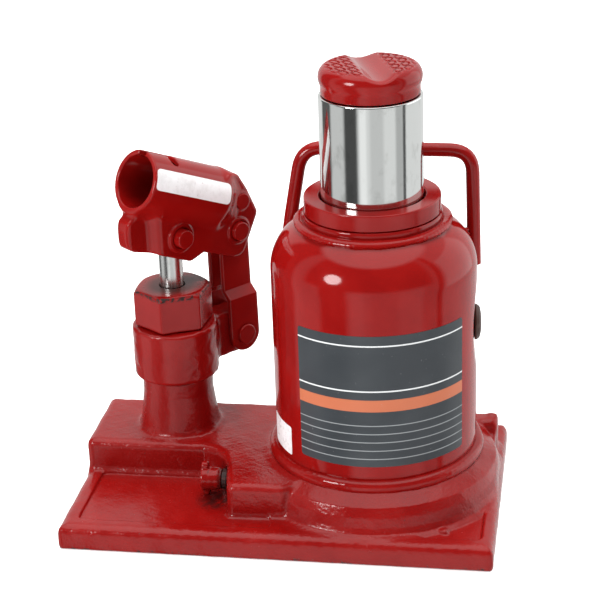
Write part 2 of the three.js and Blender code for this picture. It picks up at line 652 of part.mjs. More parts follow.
function safetySpring() {
  const start = SAFETY.seatY + 2 * BALL.safety + 0.6;
  const end = PLATFORM.back - 2 - 7 - GAP;
  return coilSpring(2.6, 0.6, end - start, 4).rotateX(-Math.PI / 2).translate(SAFETY.x, start, SAFETY.z);
}

function dischargeSpring() {
  const foot = DISCHARGE.seatZ + 2 * BALL.discharge + 0.2;
  const height = SEAT_Z - 0.4 - foot;
  return coilSpring(3.2, 0.5, height, 2.5).translate(DISCHARGE.x, DISCHARGE.y, foot);
}

function carryHandle() {
  const { radius, footY, topY, foot, top, corner } = BAIL;
  const leanAt = (z) => footY + (topY - footY) * (z - foot) / (top - foot);
  const point = (x, z) => new THREE.Vector3(x, leanAt(z), z);
  const route = new THREE.CurvePath();
  const corners = [point(-46.9, foot), point(-45.6, 134), point(-38.6, top), point(45.4, top), point(46.4, 136),
    point(46.9, foot)];
  const bends = [7, corner, corner, 7];
  let start = corners[0];
  bends.forEach((bend, i) => {
    const at = corners[i + 1];
    const before = at.clone().add(corners[i].clone().sub(at).setLength(bend));
    const after = at.clone().add(corners[i + 2].clone().sub(at).setLength(bend));
    route.add(new THREE.LineCurve3(start, before));
    route.add(new THREE.QuadraticBezierCurve3(before, at, after));
    start = after;
  });
  route.add(new THREE.LineCurve3(start, corners.at(-1)));
  return wire(route, radius, 8, 34);
}

// ---------------------------------------------------------------- assembly

addPart(jack, 'base_casting', baseCasting(), RED);
addPart(jack, 'reservoir_tank', reservoirTank(), RED);
addPart(jack, 'gland_nut', glandNut(), RED);
addPart(jack, 'carry_handle', carryHandle(), RED);
addPart(jack, 'filler_plug', fillerPlug(), BROWN_RUBBER);
addPart(jack, 'filler_washer', fillerWasher(), BLACK_RUBBER);

addPart(jack, 'cylinder_gasket', ring(CYLINDER.bore, CYLINDER.radius, SEAT_Z + GAP, SEAT_Z + GASKET_THICK,
  HIDDEN_ROUND), COPPER);
addPart(jack, 'pressure_cylinder',
  ring(CYLINDER.bore, CYLINDER.radius, SEAT_Z + GASKET_THICK + GAP, CYLINDER.top, HIDDEN_ROUND), STEEL);
addPart(jack, 'gland_seal',
  ring(RAM.radius + GAP, GLAND_SEAL.radius, GLAND_SEAL.low, GLAND_SEAL.high, HIDDEN_ROUND), SEAL);

addPart(jack, 'ram', ramBody(), CHROME);
addPart(jack, 'piston_head', pistonHead(), STEEL);
addPart(jack, 'piston_nut', pistonNut(), STEEL);
addPart(jack, 'piston_cup_seal', pistonCup(), SEAL);
addPart(jack, 'piston_backup_ring',
  ring(PISTON.core + GAP, PISTON.radius, PISTON.sealZ + 7.7, PISTON.skirt - 1.6, HIDDEN_ROUND), BLACK_RUBBER);
addPart(jack, 'saddle', saddleBody(), RED);

addPart(jack, 'release_valve_screw', releaseScrew(), RED);
addPart(jack, 'release_valve_ring', releaseRing(), BLACK_RUBBER);
addPart(jack, 'release_valve_ball',
  ball(BALL.release, VALVE.seat - BALL.release - 0.4, VALVE.y, VALVE.z), STEEL);
addPart(jack, 'safety_valve_ball', ball(BALL.safety, SAFETY.x, SAFETY.seatY + BALL.safety + GAP, SAFETY.z),
  STEEL);
addPart(jack, 'safety_valve_spring', safetySpring(), SPRING_STEEL);
addPart(jack, 'safety_valve_screw', safetyScrew(), STEEL);
addPart(jack, 'suction_ball', ball(BALL.suction, PUMP.x, PUMP.y, SUCTION.seatZ + BALL.suction - 0.4), STEEL);
addPart(jack, 'discharge_ball',
  ball(BALL.discharge, DISCHARGE.x, DISCHARGE.y, DISCHARGE.seatZ + BALL.discharge - 0.2), STEEL);
addPart(jack, 'discharge_spring', dischargeSpring(), SPRING_STEEL);

addPart(head, 'pump_cylinder', geometryOf(pumpCylinder()).rotateZ(-degrees(PUMP.azimuth)), RED);
addPart(head, 'plunger_packing',
  ring(PLUNGER.radius + GAP, PACKING.radius, PACKING.low, PACKING.high, SMALL_ROUND), SEAL);
addPart(head, 'plunger_wiper',
  ring(PLUNGER.radius + GAP, WIPER.radius, WIPER.low, WIPER.high, SMALL_ROUND), BLACK_RUBBER);
addPart(head, 'swivel_collar', swivelCollar(), RED);
addPart(head, 'plunger', plungerRod(), CHROME);
addPart(head, 'handle_socket', handleSocket(), RED);
addPart(head, 'link_near', pumpLink(-1), RED);
addPart(head, 'link_far', pumpLink(1), RED);
addPart(head, 'socket_rivet', socketRivet(), RED);

const linkFace = LINK.lowerInner + LINK.thick;
const PIVOTS = [
  { name: 'plunger', pivot: PLUNGER_PIVOT, plateFace: FORK.outer, headRadius: 4.9, headFace: 13 },
  { name: 'upper_link', pivot: UPPER_PIVOT, plateFace: FORK.outer, headRadius: 4.7, headFace: 12.5 },
  { name: 'lower_link', pivot: LOWER_PIVOT, plateFace: linkFace, headRadius: 4.6, headFace: 12.3 },
];
PIVOTS.forEach(({ name, pivot, plateFace, headRadius, headFace }) => {
  addPart(head, `${name}_pin`, headedPin(pivot, plateFace, headRadius, headFace), RED);
  addPart(head, `${name}_clip`, ringClip(pivot, plateFace), SPRING_STEEL);
});

export default jack;
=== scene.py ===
"""The looks of the bottle jack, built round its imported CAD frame.

Lengths are millimetres in the row frame until a mesh is made, which is in metres.
Cast, forged and pressed pieces are signed distance fields turned into meshes; turned pieces are lathed.
"""
import math

import bpy
import numpy as np
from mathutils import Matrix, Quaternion, Vector


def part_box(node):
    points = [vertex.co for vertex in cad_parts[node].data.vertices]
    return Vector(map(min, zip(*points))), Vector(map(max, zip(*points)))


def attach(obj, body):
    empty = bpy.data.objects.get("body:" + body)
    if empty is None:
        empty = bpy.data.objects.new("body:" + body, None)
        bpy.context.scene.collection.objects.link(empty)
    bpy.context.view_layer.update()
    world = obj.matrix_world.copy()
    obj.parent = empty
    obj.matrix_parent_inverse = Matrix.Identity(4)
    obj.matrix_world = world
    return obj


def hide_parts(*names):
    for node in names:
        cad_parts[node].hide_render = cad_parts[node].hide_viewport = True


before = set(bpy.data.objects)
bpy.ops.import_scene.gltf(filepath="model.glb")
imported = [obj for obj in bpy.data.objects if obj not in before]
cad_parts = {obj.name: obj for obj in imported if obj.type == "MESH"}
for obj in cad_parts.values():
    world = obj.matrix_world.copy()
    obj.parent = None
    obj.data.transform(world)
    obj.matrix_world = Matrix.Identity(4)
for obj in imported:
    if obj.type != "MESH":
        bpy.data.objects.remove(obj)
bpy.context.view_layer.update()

MM = 0.001


def span(node):
    """Lowest and highest corner of a CAD node in millimetres."""
    low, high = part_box(node)
    return np.array(low) / MM, np.array(high) / MM


# ---------------- places taken from the CAD

TANK_LOW, TANK_HIGH = span("reservoir_tank")
TANK_RADIUS = (TANK_HIGH[1] - TANK_LOW[1]) / 2
PUMP_X, PUMP_Y = (sum(span("plunger_wiper"))[:2]) / 2
HEAD_TURN = math.radians(50)                     # the links lie in this direction from the pump's axis
HEAD_AXES = np.array([
    (math.cos(HEAD_TURN), math.sin(HEAD_TURN), 0),
    (-math.sin(HEAD_TURN), math.cos(HEAD_TURN), 0),
    (0, 0, 1),
])

PLUNGER_PIVOT = (0, 134.5)                       # distance from the pump's axis, height
UPPER_PIVOT = (36.5, 128.5)
LOWER_PIVOT = (37.5, 71.2)
RIVET_PLACE = (39.4, 143.5)

MOUTH = (-18.4, 166.4)                           # centre of the handle socket's mouth
TILT = math.radians(23.5)
TUBE = 15.7
TUBE_BORE = 13.2
CHEEK = 9.7                                      # half width of the fork

VALVE_Y, VALVE_Z = -28.5, 21                     # the release valve's axis, which runs along X


# ---------------- fields

def blend_min(a, b, width):
    """Union with a fillet about as wide as width."""
    share = np.maximum(width - np.abs(a - b), 0) / width
    return np.minimum(a, b) - share * share * width * 0.25


def blend_max(a, b, width):
    """Intersection with a rounded edge about as wide as width."""
    return -blend_min(-a, -b, width)


def cut(a, b, width):
    return blend_max(a, -b, width)


def length(*parts):
    return np.sqrt(sum(part * part for part in parts))


def between(value, low, high):
    return np.maximum(low - value, value - high)


def rectangle(x, y, left, right, front, back, corner):
    qx = np.abs(x - (left + right) / 2) - (right - left) / 2 + corner
    qy = np.abs(y - (front + back) / 2) - (back - front) / 2 + corner
    return length(np.maximum(qx, 0), np.maximum(qy, 0)) + np.minimum(np.maximum(qx, qy), 0) - corner


def polygon(x, y, corners, rounding=0.0):
    """Distance to a closed outline; rounding softens its outward corners."""
    if rounding:
        corners = inset(corners, rounding)
    nearest, inside = None, False
    for (ax, ay), (bx, by) in zip(corners, corners[1:] + corners[:1]):
        ex, ey = bx - ax, by - ay
        wx, wy = x - ax, y - ay
        along = np.clip((wx * ex + wy * ey) / (ex * ex + ey * ey), 0, 1)
        gap = (wx - ex * along) ** 2 + (wy - ey * along) ** 2
        nearest = gap if nearest is None else np.minimum(nearest, gap)
        if ey:
            crossed = ((ay > y) != (by > y)) & (x < ax + ex * (y - ay) / ey)
            inside = inside ^ crossed
    distance = np.sqrt(nearest)
    return np.where(inside, -distance, distance) - rounding


def inset(corners, by):
    """The outline with each edge moved inwards."""
    points = [np.array(c, float) for c in corners]
    area = sum(a[0] * b[1] - b[0] * a[1] for a, b in zip(points, points[1:] + points[:1]))
    side = 1 if area > 0 else -1
    moved = []
    for before, here, after in zip(points[-1:] + points[:-1], points, points[1:] + points[:1]):
        u = (here - before) / np.linalg.norm(here - before)
        v = (after - here) / np.linalg.norm(after - here)
        normal = side * np.array([-u[1] - v[1], u[0] + v[0]])
        shift = normal * by * 2 / max(normal @ normal, 0.4)
        moved.append(tuple(here + shift))
    return moved


def capsule(x, y, z, start, end, radius):
    a, b = np.array(start, float), np.array(end, float)
    e = b - a
    along = np.clip(((x - a[0]) * e[0] + (y - a[1]) * e[1] + (z - a[2]) * e[2]) / (e @ e), 0, 1)
    return length(x - a[0] - e[0] * along, y - a[1] - e[1] * along, z - a[2] - e[2] * along) - radius


def unevenness(x, y, z, pitch):
    """A slow wander from -1 to 1, as in a sand casting's surface."""
    k = 2 * math.pi / pitch
    first = np.sin(k * x + 1.3 * np.sin(0.7 * k * y)) * np.sin(k * y * 0.9 + 1.1 * np.sin(0.6 * k * z))
    return first * 0.6 + 0.4 * np.sin(1.7 * k * x + 0.8 * k * y + 2 * np.sin(0.9 * k * z))


# ---------------- meshes

CORNERS = np.array([[i, j, k] for i in (0, 1) for j in (0, 1) for k in (0, 1)])
EDGES = [(a, b) for a in range(8) for b in range(a + 1, 8) if np.abs(CORNERS[a] - CORNERS[b]).sum() == 1]


def slopes(field, points, reach):
    """The field's gradient at points."""
    rise = np.empty_like(points)
    for axis in range(3):
        step = np.zeros(3)
        step[axis] = reach
        rise[:, axis] = (field(*(points + step).T) - field(*(points - step).T)) / (2 * reach)
    return rise


def net_mesh(field, low, high, step):
    """Points, quads and normals of the field's zero surface, by surface nets."""
    low = np.array(low, float) - 1.7 * step
    counts = np.ceil((np.array(high, float) + 1.7 * step - low) / step).astype(int) + 1
    grid = np.ix_(*[low[axis] + step * np.arange(counts[axis]) for axis in range(3)])
    values = np.broadcast_to(field(*grid), counts).astype(np.float32)
    below = values < 0
    cells = np.zeros(counts - 1, np.int8)
    for i, j, k in CORNERS:
        cells += below[i:counts[0] - 1 + i, j:counts[1] - 1 + j, k:counts[2] - 1 + k]
    found = np.argwhere((cells > 0) & (cells < 8))
    number = np.full(counts - 1, -1, np.int32)
    number[tuple(found.T)] = np.arange(len(found))
    at = [values[tuple((found + corner).T)] for corner in CORNERS]
    total, hits = np.zeros((len(found), 3)), np.zeros(len(found))
    for a, b in EDGES:
        crossing = (at[a] < 0) != (at[b] < 0)
        share = np.where(crossing, at[a] / np.where(crossing, at[a] - at[b], 1), 0)
        total += (CORNERS[a] + share[:, None] * (CORNERS[b] - CORNERS[a])) * crossing[:, None]
        hits += crossing
    points = low + step * (found + total / hits[:, None])
    for _ in range(3):
        rise = slopes(field, points, 0.25 * step)
        move = rise * (field(*points.T) / np.maximum((rise * rise).sum(1), 0.1))[:, None]
        points = points - np.clip(move, -0.5 * step, 0.5 * step)
    normals = slopes(field, points, 0.35 * step)
    normals /= np.maximum(np.linalg.norm(normals, axis=1), 1e-9)[:, None]
    return points, net_quads(below, number), normals


def net_quads(below, number):
    """One quad round each grid edge that the surface crosses."""
    quads = []
    for axis in range(3):
        p, q = (axis + 1) % 3, (axis + 2) % 3
        along = np.moveaxis(below, axis, 0)
        for mask, outward in ((along[:-1] & ~along[1:], True), (along[1:] & ~along[:-1], False)):
            at = np.argwhere(np.moveaxis(mask, 0, axis))
            inside = (at[:, p] > 0) & (at[:, q] > 0)
            at = at[inside & (at[:, p] < number.shape[p]) & (at[:, q] < number.shape[q])]
            around = []
            for dp, dq in ((-1, -1), (0, -1), (0, 0), (-1, 0)):
                cell = at.copy()
                cell[:, p] += dp
                cell[:, q] += dq
                around.append(number[tuple(cell.T)])
            quad = np.stack(around, 1)
            quads.append(quad if outward else quad[:, ::-1])
    return np.concatenate(quads)


def add_piece(name, points, faces, material, body, node=None, slot=None, normals=None):
    """Makes one piece from points in millimetres, on its CAD body and in place of its CAD node."""
    mesh = bpy.data.meshes.new(name)
    if isinstance(faces, np.ndarray):
        faces = faces.tolist()
    mesh.from_pydata((np.asarray(points) * MM).tolist(), [], faces)
    mesh.validate()
    mesh.polygons.foreach_set("use_smooth", [True] * len(mesh.polygons))
    if normals is None:
        mesh.set_sharp_from_angle(angle=math.radians(38))
    else:
        mesh.normals_split_custom_set_from_vertices(normals.tolist())
    mesh.materials.append(material)
    piece = bpy.data.objects.new(name, mesh)
    bpy.context.scene.collection.objects.link(piece)
    if normals is None:
        piece.modifiers.new("even_normals", "WEIGHTED_NORMAL").keep_sharp = True
    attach(piece, body)
    if node:
        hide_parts(node)


def head_vectors(vectors):
    """Vectors of the pump head, given along its links, across and up, in the row frame."""
    return np.asarray(vectors, float) @ HEAD_AXES


def from_head(points):
    """Points measured from the pump's axis in the same way, in the row frame."""
    return head_vectors(points) + (PUMP_X, PUMP_Y, 0)


def head_point(u, z, v=0.0):
    return from_head([(u, v, z)])[0]


def add_field(name, field, low, high, step, material, body, in_head=False, **rest):
    points, faces, normals = net_mesh(field, low, high, step)
    if in_head:
        points, normals = from_head(points), head_vectors(normals)
    add_piece(name, points, faces, material, body, normals=normals, **rest)


def eased(corners, longest=1e9):
    """An outline from (x, y) or (x, y, radius) corners, rounded there, with no step longer than longest."""
    points = []
    for i, (x, y, radius) in enumerate((*corner, 0)[:3] for corner in corners):
        here = np.array([x, y], float)
        if not radius:
            points.append(here)
            continue
        before = np.array(corners[i - 1][:2], float) - here
        after = np.array(corners[i + 1][:2], float) - here
        reach_before, reach_after = np.linalg.norm(before), np.linalg.norm(after)
        u, v = before / reach_before, after / reach_after
        half = math.acos(max(-1, min(1, float(u @ v)))) / 2
        trim = min(radius / math.tan(half), 0.48 * reach_before, 0.48 * reach_after)
        start, end = here + u * trim, here + v * trim
        for t in np.linspace(0, 1, 7):
            points.append(start * (1 - t) ** 2 + here * 2 * t * (1 - t) + end * t * t)
    fine = [points[0]]
    for point in points[1:]:
        parts = max(1, math.ceil(np.linalg.norm(point - fine[-1]) / longest))
        start = fine[-1]
        fine += [start + (point - start) * n / parts for n in range(1, parts + 1)]
    return np.array(fine)


def lathe(section, sides):
    """Points and faces of (radius, height) points turned about Z; ends on the axis are closed by fans."""
    turn = np.linspace(0, 2 * math.pi, sides, endpoint=False)
    rings, points = [], []
    for radius, height in section:
        if radius < 1e-6:
            rings.append([len(points)])
            points.append((0, 0, height))
        else:
            rings.append(range(len(points), len(points) + sides))
            points += [(radius * math.cos(a), radius * math.sin(a), height) for a in turn]
    faces = []
    for lower, upper in zip(rings[:-1], rings[1:]):
        for i in range(sides):
            j = (i + 1) % sides
            if len(lower) > 1 and len(upper) > 1:
                faces.append((lower[i], lower[j], upper[j], upper[i]))
            elif len(upper) > 1:
                faces.append((lower[0], upper[j], upper[i]))
            elif len(lower) > 1:
                faces.append((lower[i], lower[j], upper[0]))
    if np.allclose(section[0], section[-1]):
        first, last = rings[0], rings[-1]
        faces = [tuple(first[f - last[0]] if f in last else f for f in face) for face in faces]
        points = points[:last[0]]
    return np.array(points, float), faces


def ring_faces(rings, sides, closed=False):
    """Quads that join rings of points one after another, and the last to the first if closed."""
    faces = []
    for i in range(rings if closed else rings - 1):
        here, after = i * sides, (i + 1) % rings * sides
        for j in range(sides):
            k = (j + 1) % sides
            faces.append((here + j, after + j, after + k, here + k))
    return faces


def add_turned(name, corners, sides, material, body, place=(0, 0, 0), longest=1e9, along=None, **rest):
    """A turned piece from (radius, height) corners, some with a rounding; its axis is +Z or along."""
    points, faces = lathe(eased(corners, longest), sides)
    if along is not None:
        turn = np.array(Vector((0, 0, 1)).rotation_difference(Vector(along)).to_matrix())
        points = points @ turn.T
    add_piece(name, points + np.array(place), faces, material, body, **rest)


# ---------------- materials

class Tree:
    """Short names for building a node tree."""

    def __init__(self, tree):
        self.tree = tree

    def add(self, kind, inputs=None, **settings):
        node = self.tree.nodes.new(kind)
        for key, value in settings.items():
            setattr(node, key, value)
        for key, value in (inputs or {}).items():
            self.put(node.inputs[key], value)
        return node

    def put(self, socket, value):
        if isinstance(value, bpy.types.NodeSocket):
            self.tree.links.new(value, socket)
        else:
            socket.default_value = value

    def math(self, operation, a, b=0.0, clamp=False):
        return self.add("ShaderNodeMath", {0: a, 1: b}, operation=operation, use_clamp=clamp).outputs[0]

    def both(self, a, b):
        """Where mask a and mask b hold; b may be a plain share."""
        return self.math("MULTIPLY", a, b)

    def either(self, a, b):
        return self.math("MAXIMUM", a, b)

    def ramp(self, value, low, high, out_low=0.0, out_high=1.0):
        """Smooth step of value from low to high."""
        inputs = {"Value": value, "From Min": low, "From Max": high, "To Min": out_low, "To Max": out_high}
        return self.add("ShaderNodeMapRange", inputs, interpolation_type="SMOOTHSTEP").outputs[0]

    def band(self, value, low, high, soft):
        """1 from low to high, fading over soft to each side of both."""
        fall = self.ramp(value, high - soft, high + soft, 1, 0)
        return self.both(self.ramp(value, low - soft, low + soft), fall)


class Nodes(Tree):
    """A new material's tree, whose noises and masks are sized in millimetres."""

    def __init__(self, name):
        self.material = bpy.data.materials.new(name)
        self.material.use_nodes = True
        super().__init__(self.material.node_tree)
        self.shader = self.tree.nodes["Principled BSDF"]
        self.spot = self.add("ShaderNodeTexCoord").outputs["Object"]

    def noise(self, size, detail=3.0, rough=0.5, stretch=(1, 1, 1), offset=0.0):
        """Noise from 0 to 1 with features about size across."""
        scale = [1 / (size * MM * s) for s in stretch]
        shift = (offset, offset, offset)
        moved = self.add("ShaderNodeMapping", {0: self.spot, "Scale": scale, "Location": shift}).outputs[0]
        inputs = {"Vector": moved, "Scale": 1.0, "Detail": detail, "Roughness": rough}
        return self.add("ShaderNodeTexNoise", inputs).outputs[0]

    def mix(self, share, a, b):
        node = self.add("ShaderNodeMix", data_type="RGBA")
        self.put(node.inputs[0], share)
        self.put(node.inputs[6], a)
        self.put(node.inputs[7], b)
        return node.outputs[2]

    def axis(self, which):
        """The object coordinate on one axis."""
        split = self.add("ShaderNodeSeparateXYZ", {0: self.spot})
        return self.math("DIVIDE", split.outputs["XYZ".index(which)], MM)

    def near(self, point, radius, soft):
        """1 within radius of a point, fading to 0 over soft."""
        centre = [c * MM for c in point]
        apart = self.add("ShaderNodeVectorMath", {0: self.spot, 1: centre}, operation="DISTANCE")
        return self.ramp(apart.outputs["Value"], radius * MM, (radius + soft) * MM, 1.0, 0.0)

    def bump(self, height, depth, under=None):
        inputs = {"Height": height, "Distance": depth * MM, "Strength": 1.0}
        if under is not None:
            inputs["Normal"] = under
        return self.add("ShaderNodeBump", inputs).outputs[0]

    def finish(self, colour, roughness, normal=None, **values):
        self.put(self.shader.inputs["Base Color"], colour)
        self.put(self.shader.inputs["Roughness"], roughness)
        if normal is not None:
            self.put(self.shader.inputs["Normal"], normal)
        for key, value in values.items():
            self.shader.inputs[key.replace("_", " ")].default_value = value
        return self.material


RED = (0.225, 0.0035, 0.0029, 1)
RED_DEEP = (0.19, 0.0025, 0.0023, 1)
RED_BRIGHT = (0.255, 0.0048, 0.0037, 1)
BARE = (0.018, 0.010, 0.009, 1)
# Dark oil for specks and stains, also used as painted shade at the post's foot.
OIL_AND_SHADE = (0.018, 0.0035, 0.003, 1)
# Painted shade colour for the inside of the handle socket.
MOUTH_SHADE_RED = (0.05, 0.009, 0.008, 1)
BROWN_OIL = (0.05, 0.020, 0.016, 1)


def painted(name, peel, peel_size, gloss, worn=None, stain_and_shade=None, stain_and_shade_colour=OIL_AND_SHADE):
    """Gloss red enamel.

    peel is the depth of its orange peel in mm, and worn and the stain function make masks of bare
    metal and of oil stains with painted shade.
    """
    n = Nodes(name)
    cloud = n.noise(22, 3, 0.55)
    fine = n.noise(2.2, 2, 0.5, offset=3.7)
    colour = n.mix(n.ramp(cloud, 0.35, 0.65), RED_DEEP, RED_BRIGHT)
    colour = n.mix(0.55, colour, RED)
    speck = n.ramp(n.noise(1.1, 2, 0.6, offset=9.1), 0.74, 0.78)
    colour = n.mix(n.both(speck, 0.5), colour, OIL_AND_SHADE)
    rough = n.ramp(cloud, 0.3, 0.7, gloss * 0.8, gloss * 1.35)
    rough = n.math("ADD", rough, n.ramp(fine, 0.55, 0.8, 0.0, 0.04))
    if stain_and_shade is not None:
        # Stains darken the paint; some of these masks are painted shade.
        mask = stain_and_shade(n)
        colour = n.mix(n.both(mask, 0.85), colour, stain_and_shade_colour)
        rough = n.math("ADD", rough, n.both(mask, 0.18))
    if worn is not None:
        mask = worn(n)
        colour = n.mix(mask, colour, BARE)
        rough = n.math("ADD", rough, n.both(mask, 0.35), clamp=True)
    skin = n.bump(n.noise(peel_size, 2, 0.5, offset=1.3), peel)
    skin = n.bump(n.noise(peel_size * 4.5, 2, 0.5, offset=5.9), peel * 1.2, under=skin)
    return n.finish(colour, rough, skin, IOR=1.42)


def chips_low(n):
    """Paint knocked off along the foot of the base's side walls."""
    height = n.axis("Z")
    rim = n.ramp(height, 0.6, 2.6, 1.0, 0.0)
    chip = n.ramp(n.noise(2.6, 3, 0.6, offset=2.2), 0.60, 0.635)
    pit = n.both(n.ramp(n.noise(1.7, 2, 0.5, offset=7.7), 0.745, 0.765), 0.8)
    return n.either(n.both(rim, chip), pit)


def valve_stain_and_shade(n):
    """Oil that has seeped from the release valve and run on to the pan, and painted shade round the post's
    foot.
    """
    drip = n.either(n.near((-72, -31, 12.5), 4.5, 7), n.near((-77, -36, 11.5), 2.5, 9))
    drip = n.both(drip, n.ramp(n.noise(3.4, 3, 0.6, offset=4.4), 0.24, 0.58))
    seep = n.both(n.near((-71.5, VALVE_Y, VALVE_Z + 1), 4.0, 5), 0.8)
    # Painted shade: a darker patch on the platform beside the post's foot.
    foot = n.both(n.near((PUMP_X + 14, PUMP_Y + 2, 28), 8, 26), 0.30)
    post_foot_shade = n.both(foot, n.ramp(n.noise(9, 3, 0.6, offset=6.1), 0.35, 0.75))
    return n.either(n.either(drip, seep), post_foot_shade)


def hex_worn(n):
    """Bare, spanner-marked edges round the top of the pump's hexagon."""
    height = n.axis("Z")
    band = n.both(n.ramp(height, 103.9, 104.7), n.ramp(height, 106.1, 106.6, 1.0, 0.0))
    patch = n.ramp(n.noise(2.0, 3, 0.65, offset=8.3), 0.49, 0.53)
    return n.both(band, patch)


def hex_stain(n):
    """Brown oil film on the hexagon's top, darkest round the plunger."""
    flat = n.ramp(n.axis("Z"), 104.6, 106.2)
    smear = n.ramp(n.noise(7, 3, 0.6, offset=2.9), 0.30, 0.62)
    close = n.near((PUMP_X, PUMP_Y, 107), 9, 8)
    behind = n.near((PUMP_X + 5, PUMP_Y + 9, 107), 9, 12)
    return n.both(flat, n.either(close, n.both(behind, smear)))


def mouth_shade(n):
    """Painted shade inside the handle socket: darker paint in its bore, in patches."""
    depth = 16
    centre = head_point(MOUTH[0] + depth * math.cos(TILT), MOUTH[1] - depth * math.sin(TILT))
    inside = n.near(centre, 12.2, 1.2)
    return n.both(inside, n.ramp(n.noise(5, 3, 0.6, offset=3.1), 0.28, 0.66, 0.35, 0.9))


def valve_grime(n):
    """Oily grit on the release valve's neck and patches of it on its head."""
    neck = n.ramp(n.axis("X"), -77, -73.5)
    return n.either(neck, n.ramp(n.noise(2.6, 3, 0.6, offset=3.3), 0.56, 0.68, 0, 0.5))


def chrome(name, tint, rough, smudge):
    n = Nodes(name)
    cloud = n.noise(9, 4, 0.6, stretch=(1, 1, 1.6))
    film = n.both(n.ramp(cloud, 0.52, 0.72), smudge)
    colour = n.mix(film, tint, (0.36, 0.37, 0.35, 1))
    streak = n.noise(1.2, 2, 0.5, stretch=(1, 1, 18), offset=2.0)
    polish = n.ramp(streak, 0.3, 0.7, rough * 0.8, rough * 1.3)
    roughness = n.math("ADD", polish, n.both(film, 0.12))
    skin = n.bump(n.noise(0.5, 2, 0.5, stretch=(1, 1, 5)), 0.004)
    skin = n.bump(n.noise(14, 2, 0.5, offset=4.0), 0.02, under=skin)
    return n.finish(colour, roughness, skin, Metallic=1.0)


def bare_metal(name, tint, dark, rough):
    n = Nodes(name)
    cloud = n.noise(5, 4, 0.6)
    colour = n.mix(n.ramp(cloud, 0.35, 0.7), tint, dark)
    roughness = n.ramp(n.noise(1.5, 3, 0.6, offset=2.0), 0.3, 0.7, rough * 0.8, rough * 1.25)
    skin = n.bump(n.noise(0.7, 2, 0.5, offset=5.0), 0.012)
    return n.finish(colour, roughness, skin, Metallic=1.0)


def rubbery(name, tint, dust, rough):
    n = Nodes(name)
    cloud = n.noise(4, 4, 0.6)
    colour = n.mix(n.both(n.ramp(cloud, 0.45, 0.75), 0.6), tint, dust)
    roughness = n.ramp(n.noise(0.8, 3, 0.6, offset=2.0), 0.3, 0.7, rough * 0.85, min(1.0, rough * 1.2))
    skin = n.bump(n.noise(0.6, 3, 0.6, offset=6.0), 0.03)
    return n.finish(colour, roughness, skin, IOR=1.45)


def label_print():
    """The plain front label: a slate field with an orange band and thin ruled lines, and no lettering."""
    n = Nodes("label_print")
    height = n.axis("Z")

    def strip(low, thick, share=1.0):
        return n.both(n.band(height, low, low + thick, 0.12), share)

    slate = n.mix(n.ramp(n.noise(26, 2, 0.5), 0.3, 0.7), (0.034, 0.040, 0.046, 1), (0.043, 0.050, 0.056, 1))
    colour = n.mix(strip(71.8, 6.1), slate, (0.50, 0.135, 0.058, 1))
    for row in range(5):
        colour = n.mix(strip(46.6 + 4.4 * row, 0.5, 0.55), colour, (0.42, 0.45, 0.46, 1))
    for low in (82.0, 105.2):
        colour = n.mix(strip(low, 0.7, 0.9), colour, (0.75, 0.77, 0.77, 1))
    worn = n.both(n.ramp(n.noise(2.5, 4, 0.7, offset=4.0), 0.66, 0.74), 0.35)
    colour = n.mix(worn, colour, (0.30, 0.31, 0.32, 1))
    roughness = n.ramp(n.noise(3, 3, 0.6, offset=2.0), 0.3, 0.7, 0.30, 0.40)
    return n.finish(colour, roughness, n.bump(n.noise(1.6, 2, 0.5), 0.01), IOR=1.42)


def sticker_stock():
    n = Nodes("sticker_stock")
    cloud = n.noise(6, 4, 0.6)
    colour = n.mix(n.ramp(cloud, 0.4, 0.75), (0.84, 0.84, 0.85, 1), (0.70, 0.69, 0.69, 1))
    smut = n.both(n.ramp(n.noise(1.6, 3, 0.6, offset=5.0), 0.68, 0.74), 0.5)
    colour = n.mix(smut, colour, (0.18, 0.12, 0.11, 1))
    roughness = n.ramp(n.noise(2, 3, 0.6, offset=2.0), 0.3, 0.7, 0.25, 0.38)
    return n.finish(colour, roughness, n.bump(n.noise(1.2, 2, 0.5), 0.012), IOR=1.42)


# The base's stain mask is oil from the release valve together with painted shade at the post's foot.
CAST = painted("cast_red", 0.13, 1.3, 0.19, worn=chips_low, stain_and_shade=valve_stain_and_shade)
FORGED = painted("forged_red", 0.09, 1.2, 0.18)
SHEET = painted("sheet_red", 0.010, 2.4, 0.10)
# The socket's stain mask is painted shade inside its bore.
SOCKET_RED = painted("socket_red", 0.010, 2.4, 0.10, stain_and_shade=mouth_shade, stain_and_shade_colour=MOUTH_SHADE_RED)
TANK_RED = painted("tank_red", 0.006, 3.4, 0.075)
MACHINED = painted("machined_red", 0.004, 1.8, 0.16)
WELDED = painted("weld_red", 0.05, 1.5, 0.10)
BAIL_RED = painted("bail_red", 0.008, 2.6, 0.13)
SADDLE_RED = painted("saddle_red", 0.006, 2.0, 0.12)
VALVE_RED = painted("valve_red", 0.012, 1.6, 0.14, stain_and_shade=valve_grime)
HEX_RED = painted("hex_red", 0.008, 2.0, 0.17, worn=hex_worn, stain_and_shade=hex_stain, stain_and_shade_colour=BROWN_OIL)
RAM_CHROME = chrome("ram_chrome", (0.74, 0.76, 0.745, 1), 0.075, 0.35)
PLUNGER_STEEL = chrome("plunger_steel", (0.74, 0.76, 0.74, 1), 0.24, 0.6)
STEEL = bare_metal("steel", (0.55, 0.56, 0.57, 1), (0.36, 0.36, 0.37, 1), 0.34)
SPRING = bare_metal("spring_steel", (0.30, 0.31, 0.33, 1), (0.16, 0.16, 0.18, 1), 0.38)
COPPER = bare_metal("gasket_copper", (0.62, 0.30, 0.15, 1), (0.36, 0.17, 0.09, 1), 0.36)
BLACK = rubbery("black_rubber", (0.016, 0.016, 0.017, 1), (0.05, 0.05, 0.05, 1), 0.55)
GRIMY = rubbery("grimy_rubber", (0.022, 0.006, 0.005, 1), (0.07, 0.012, 0.010, 1), 0.5)
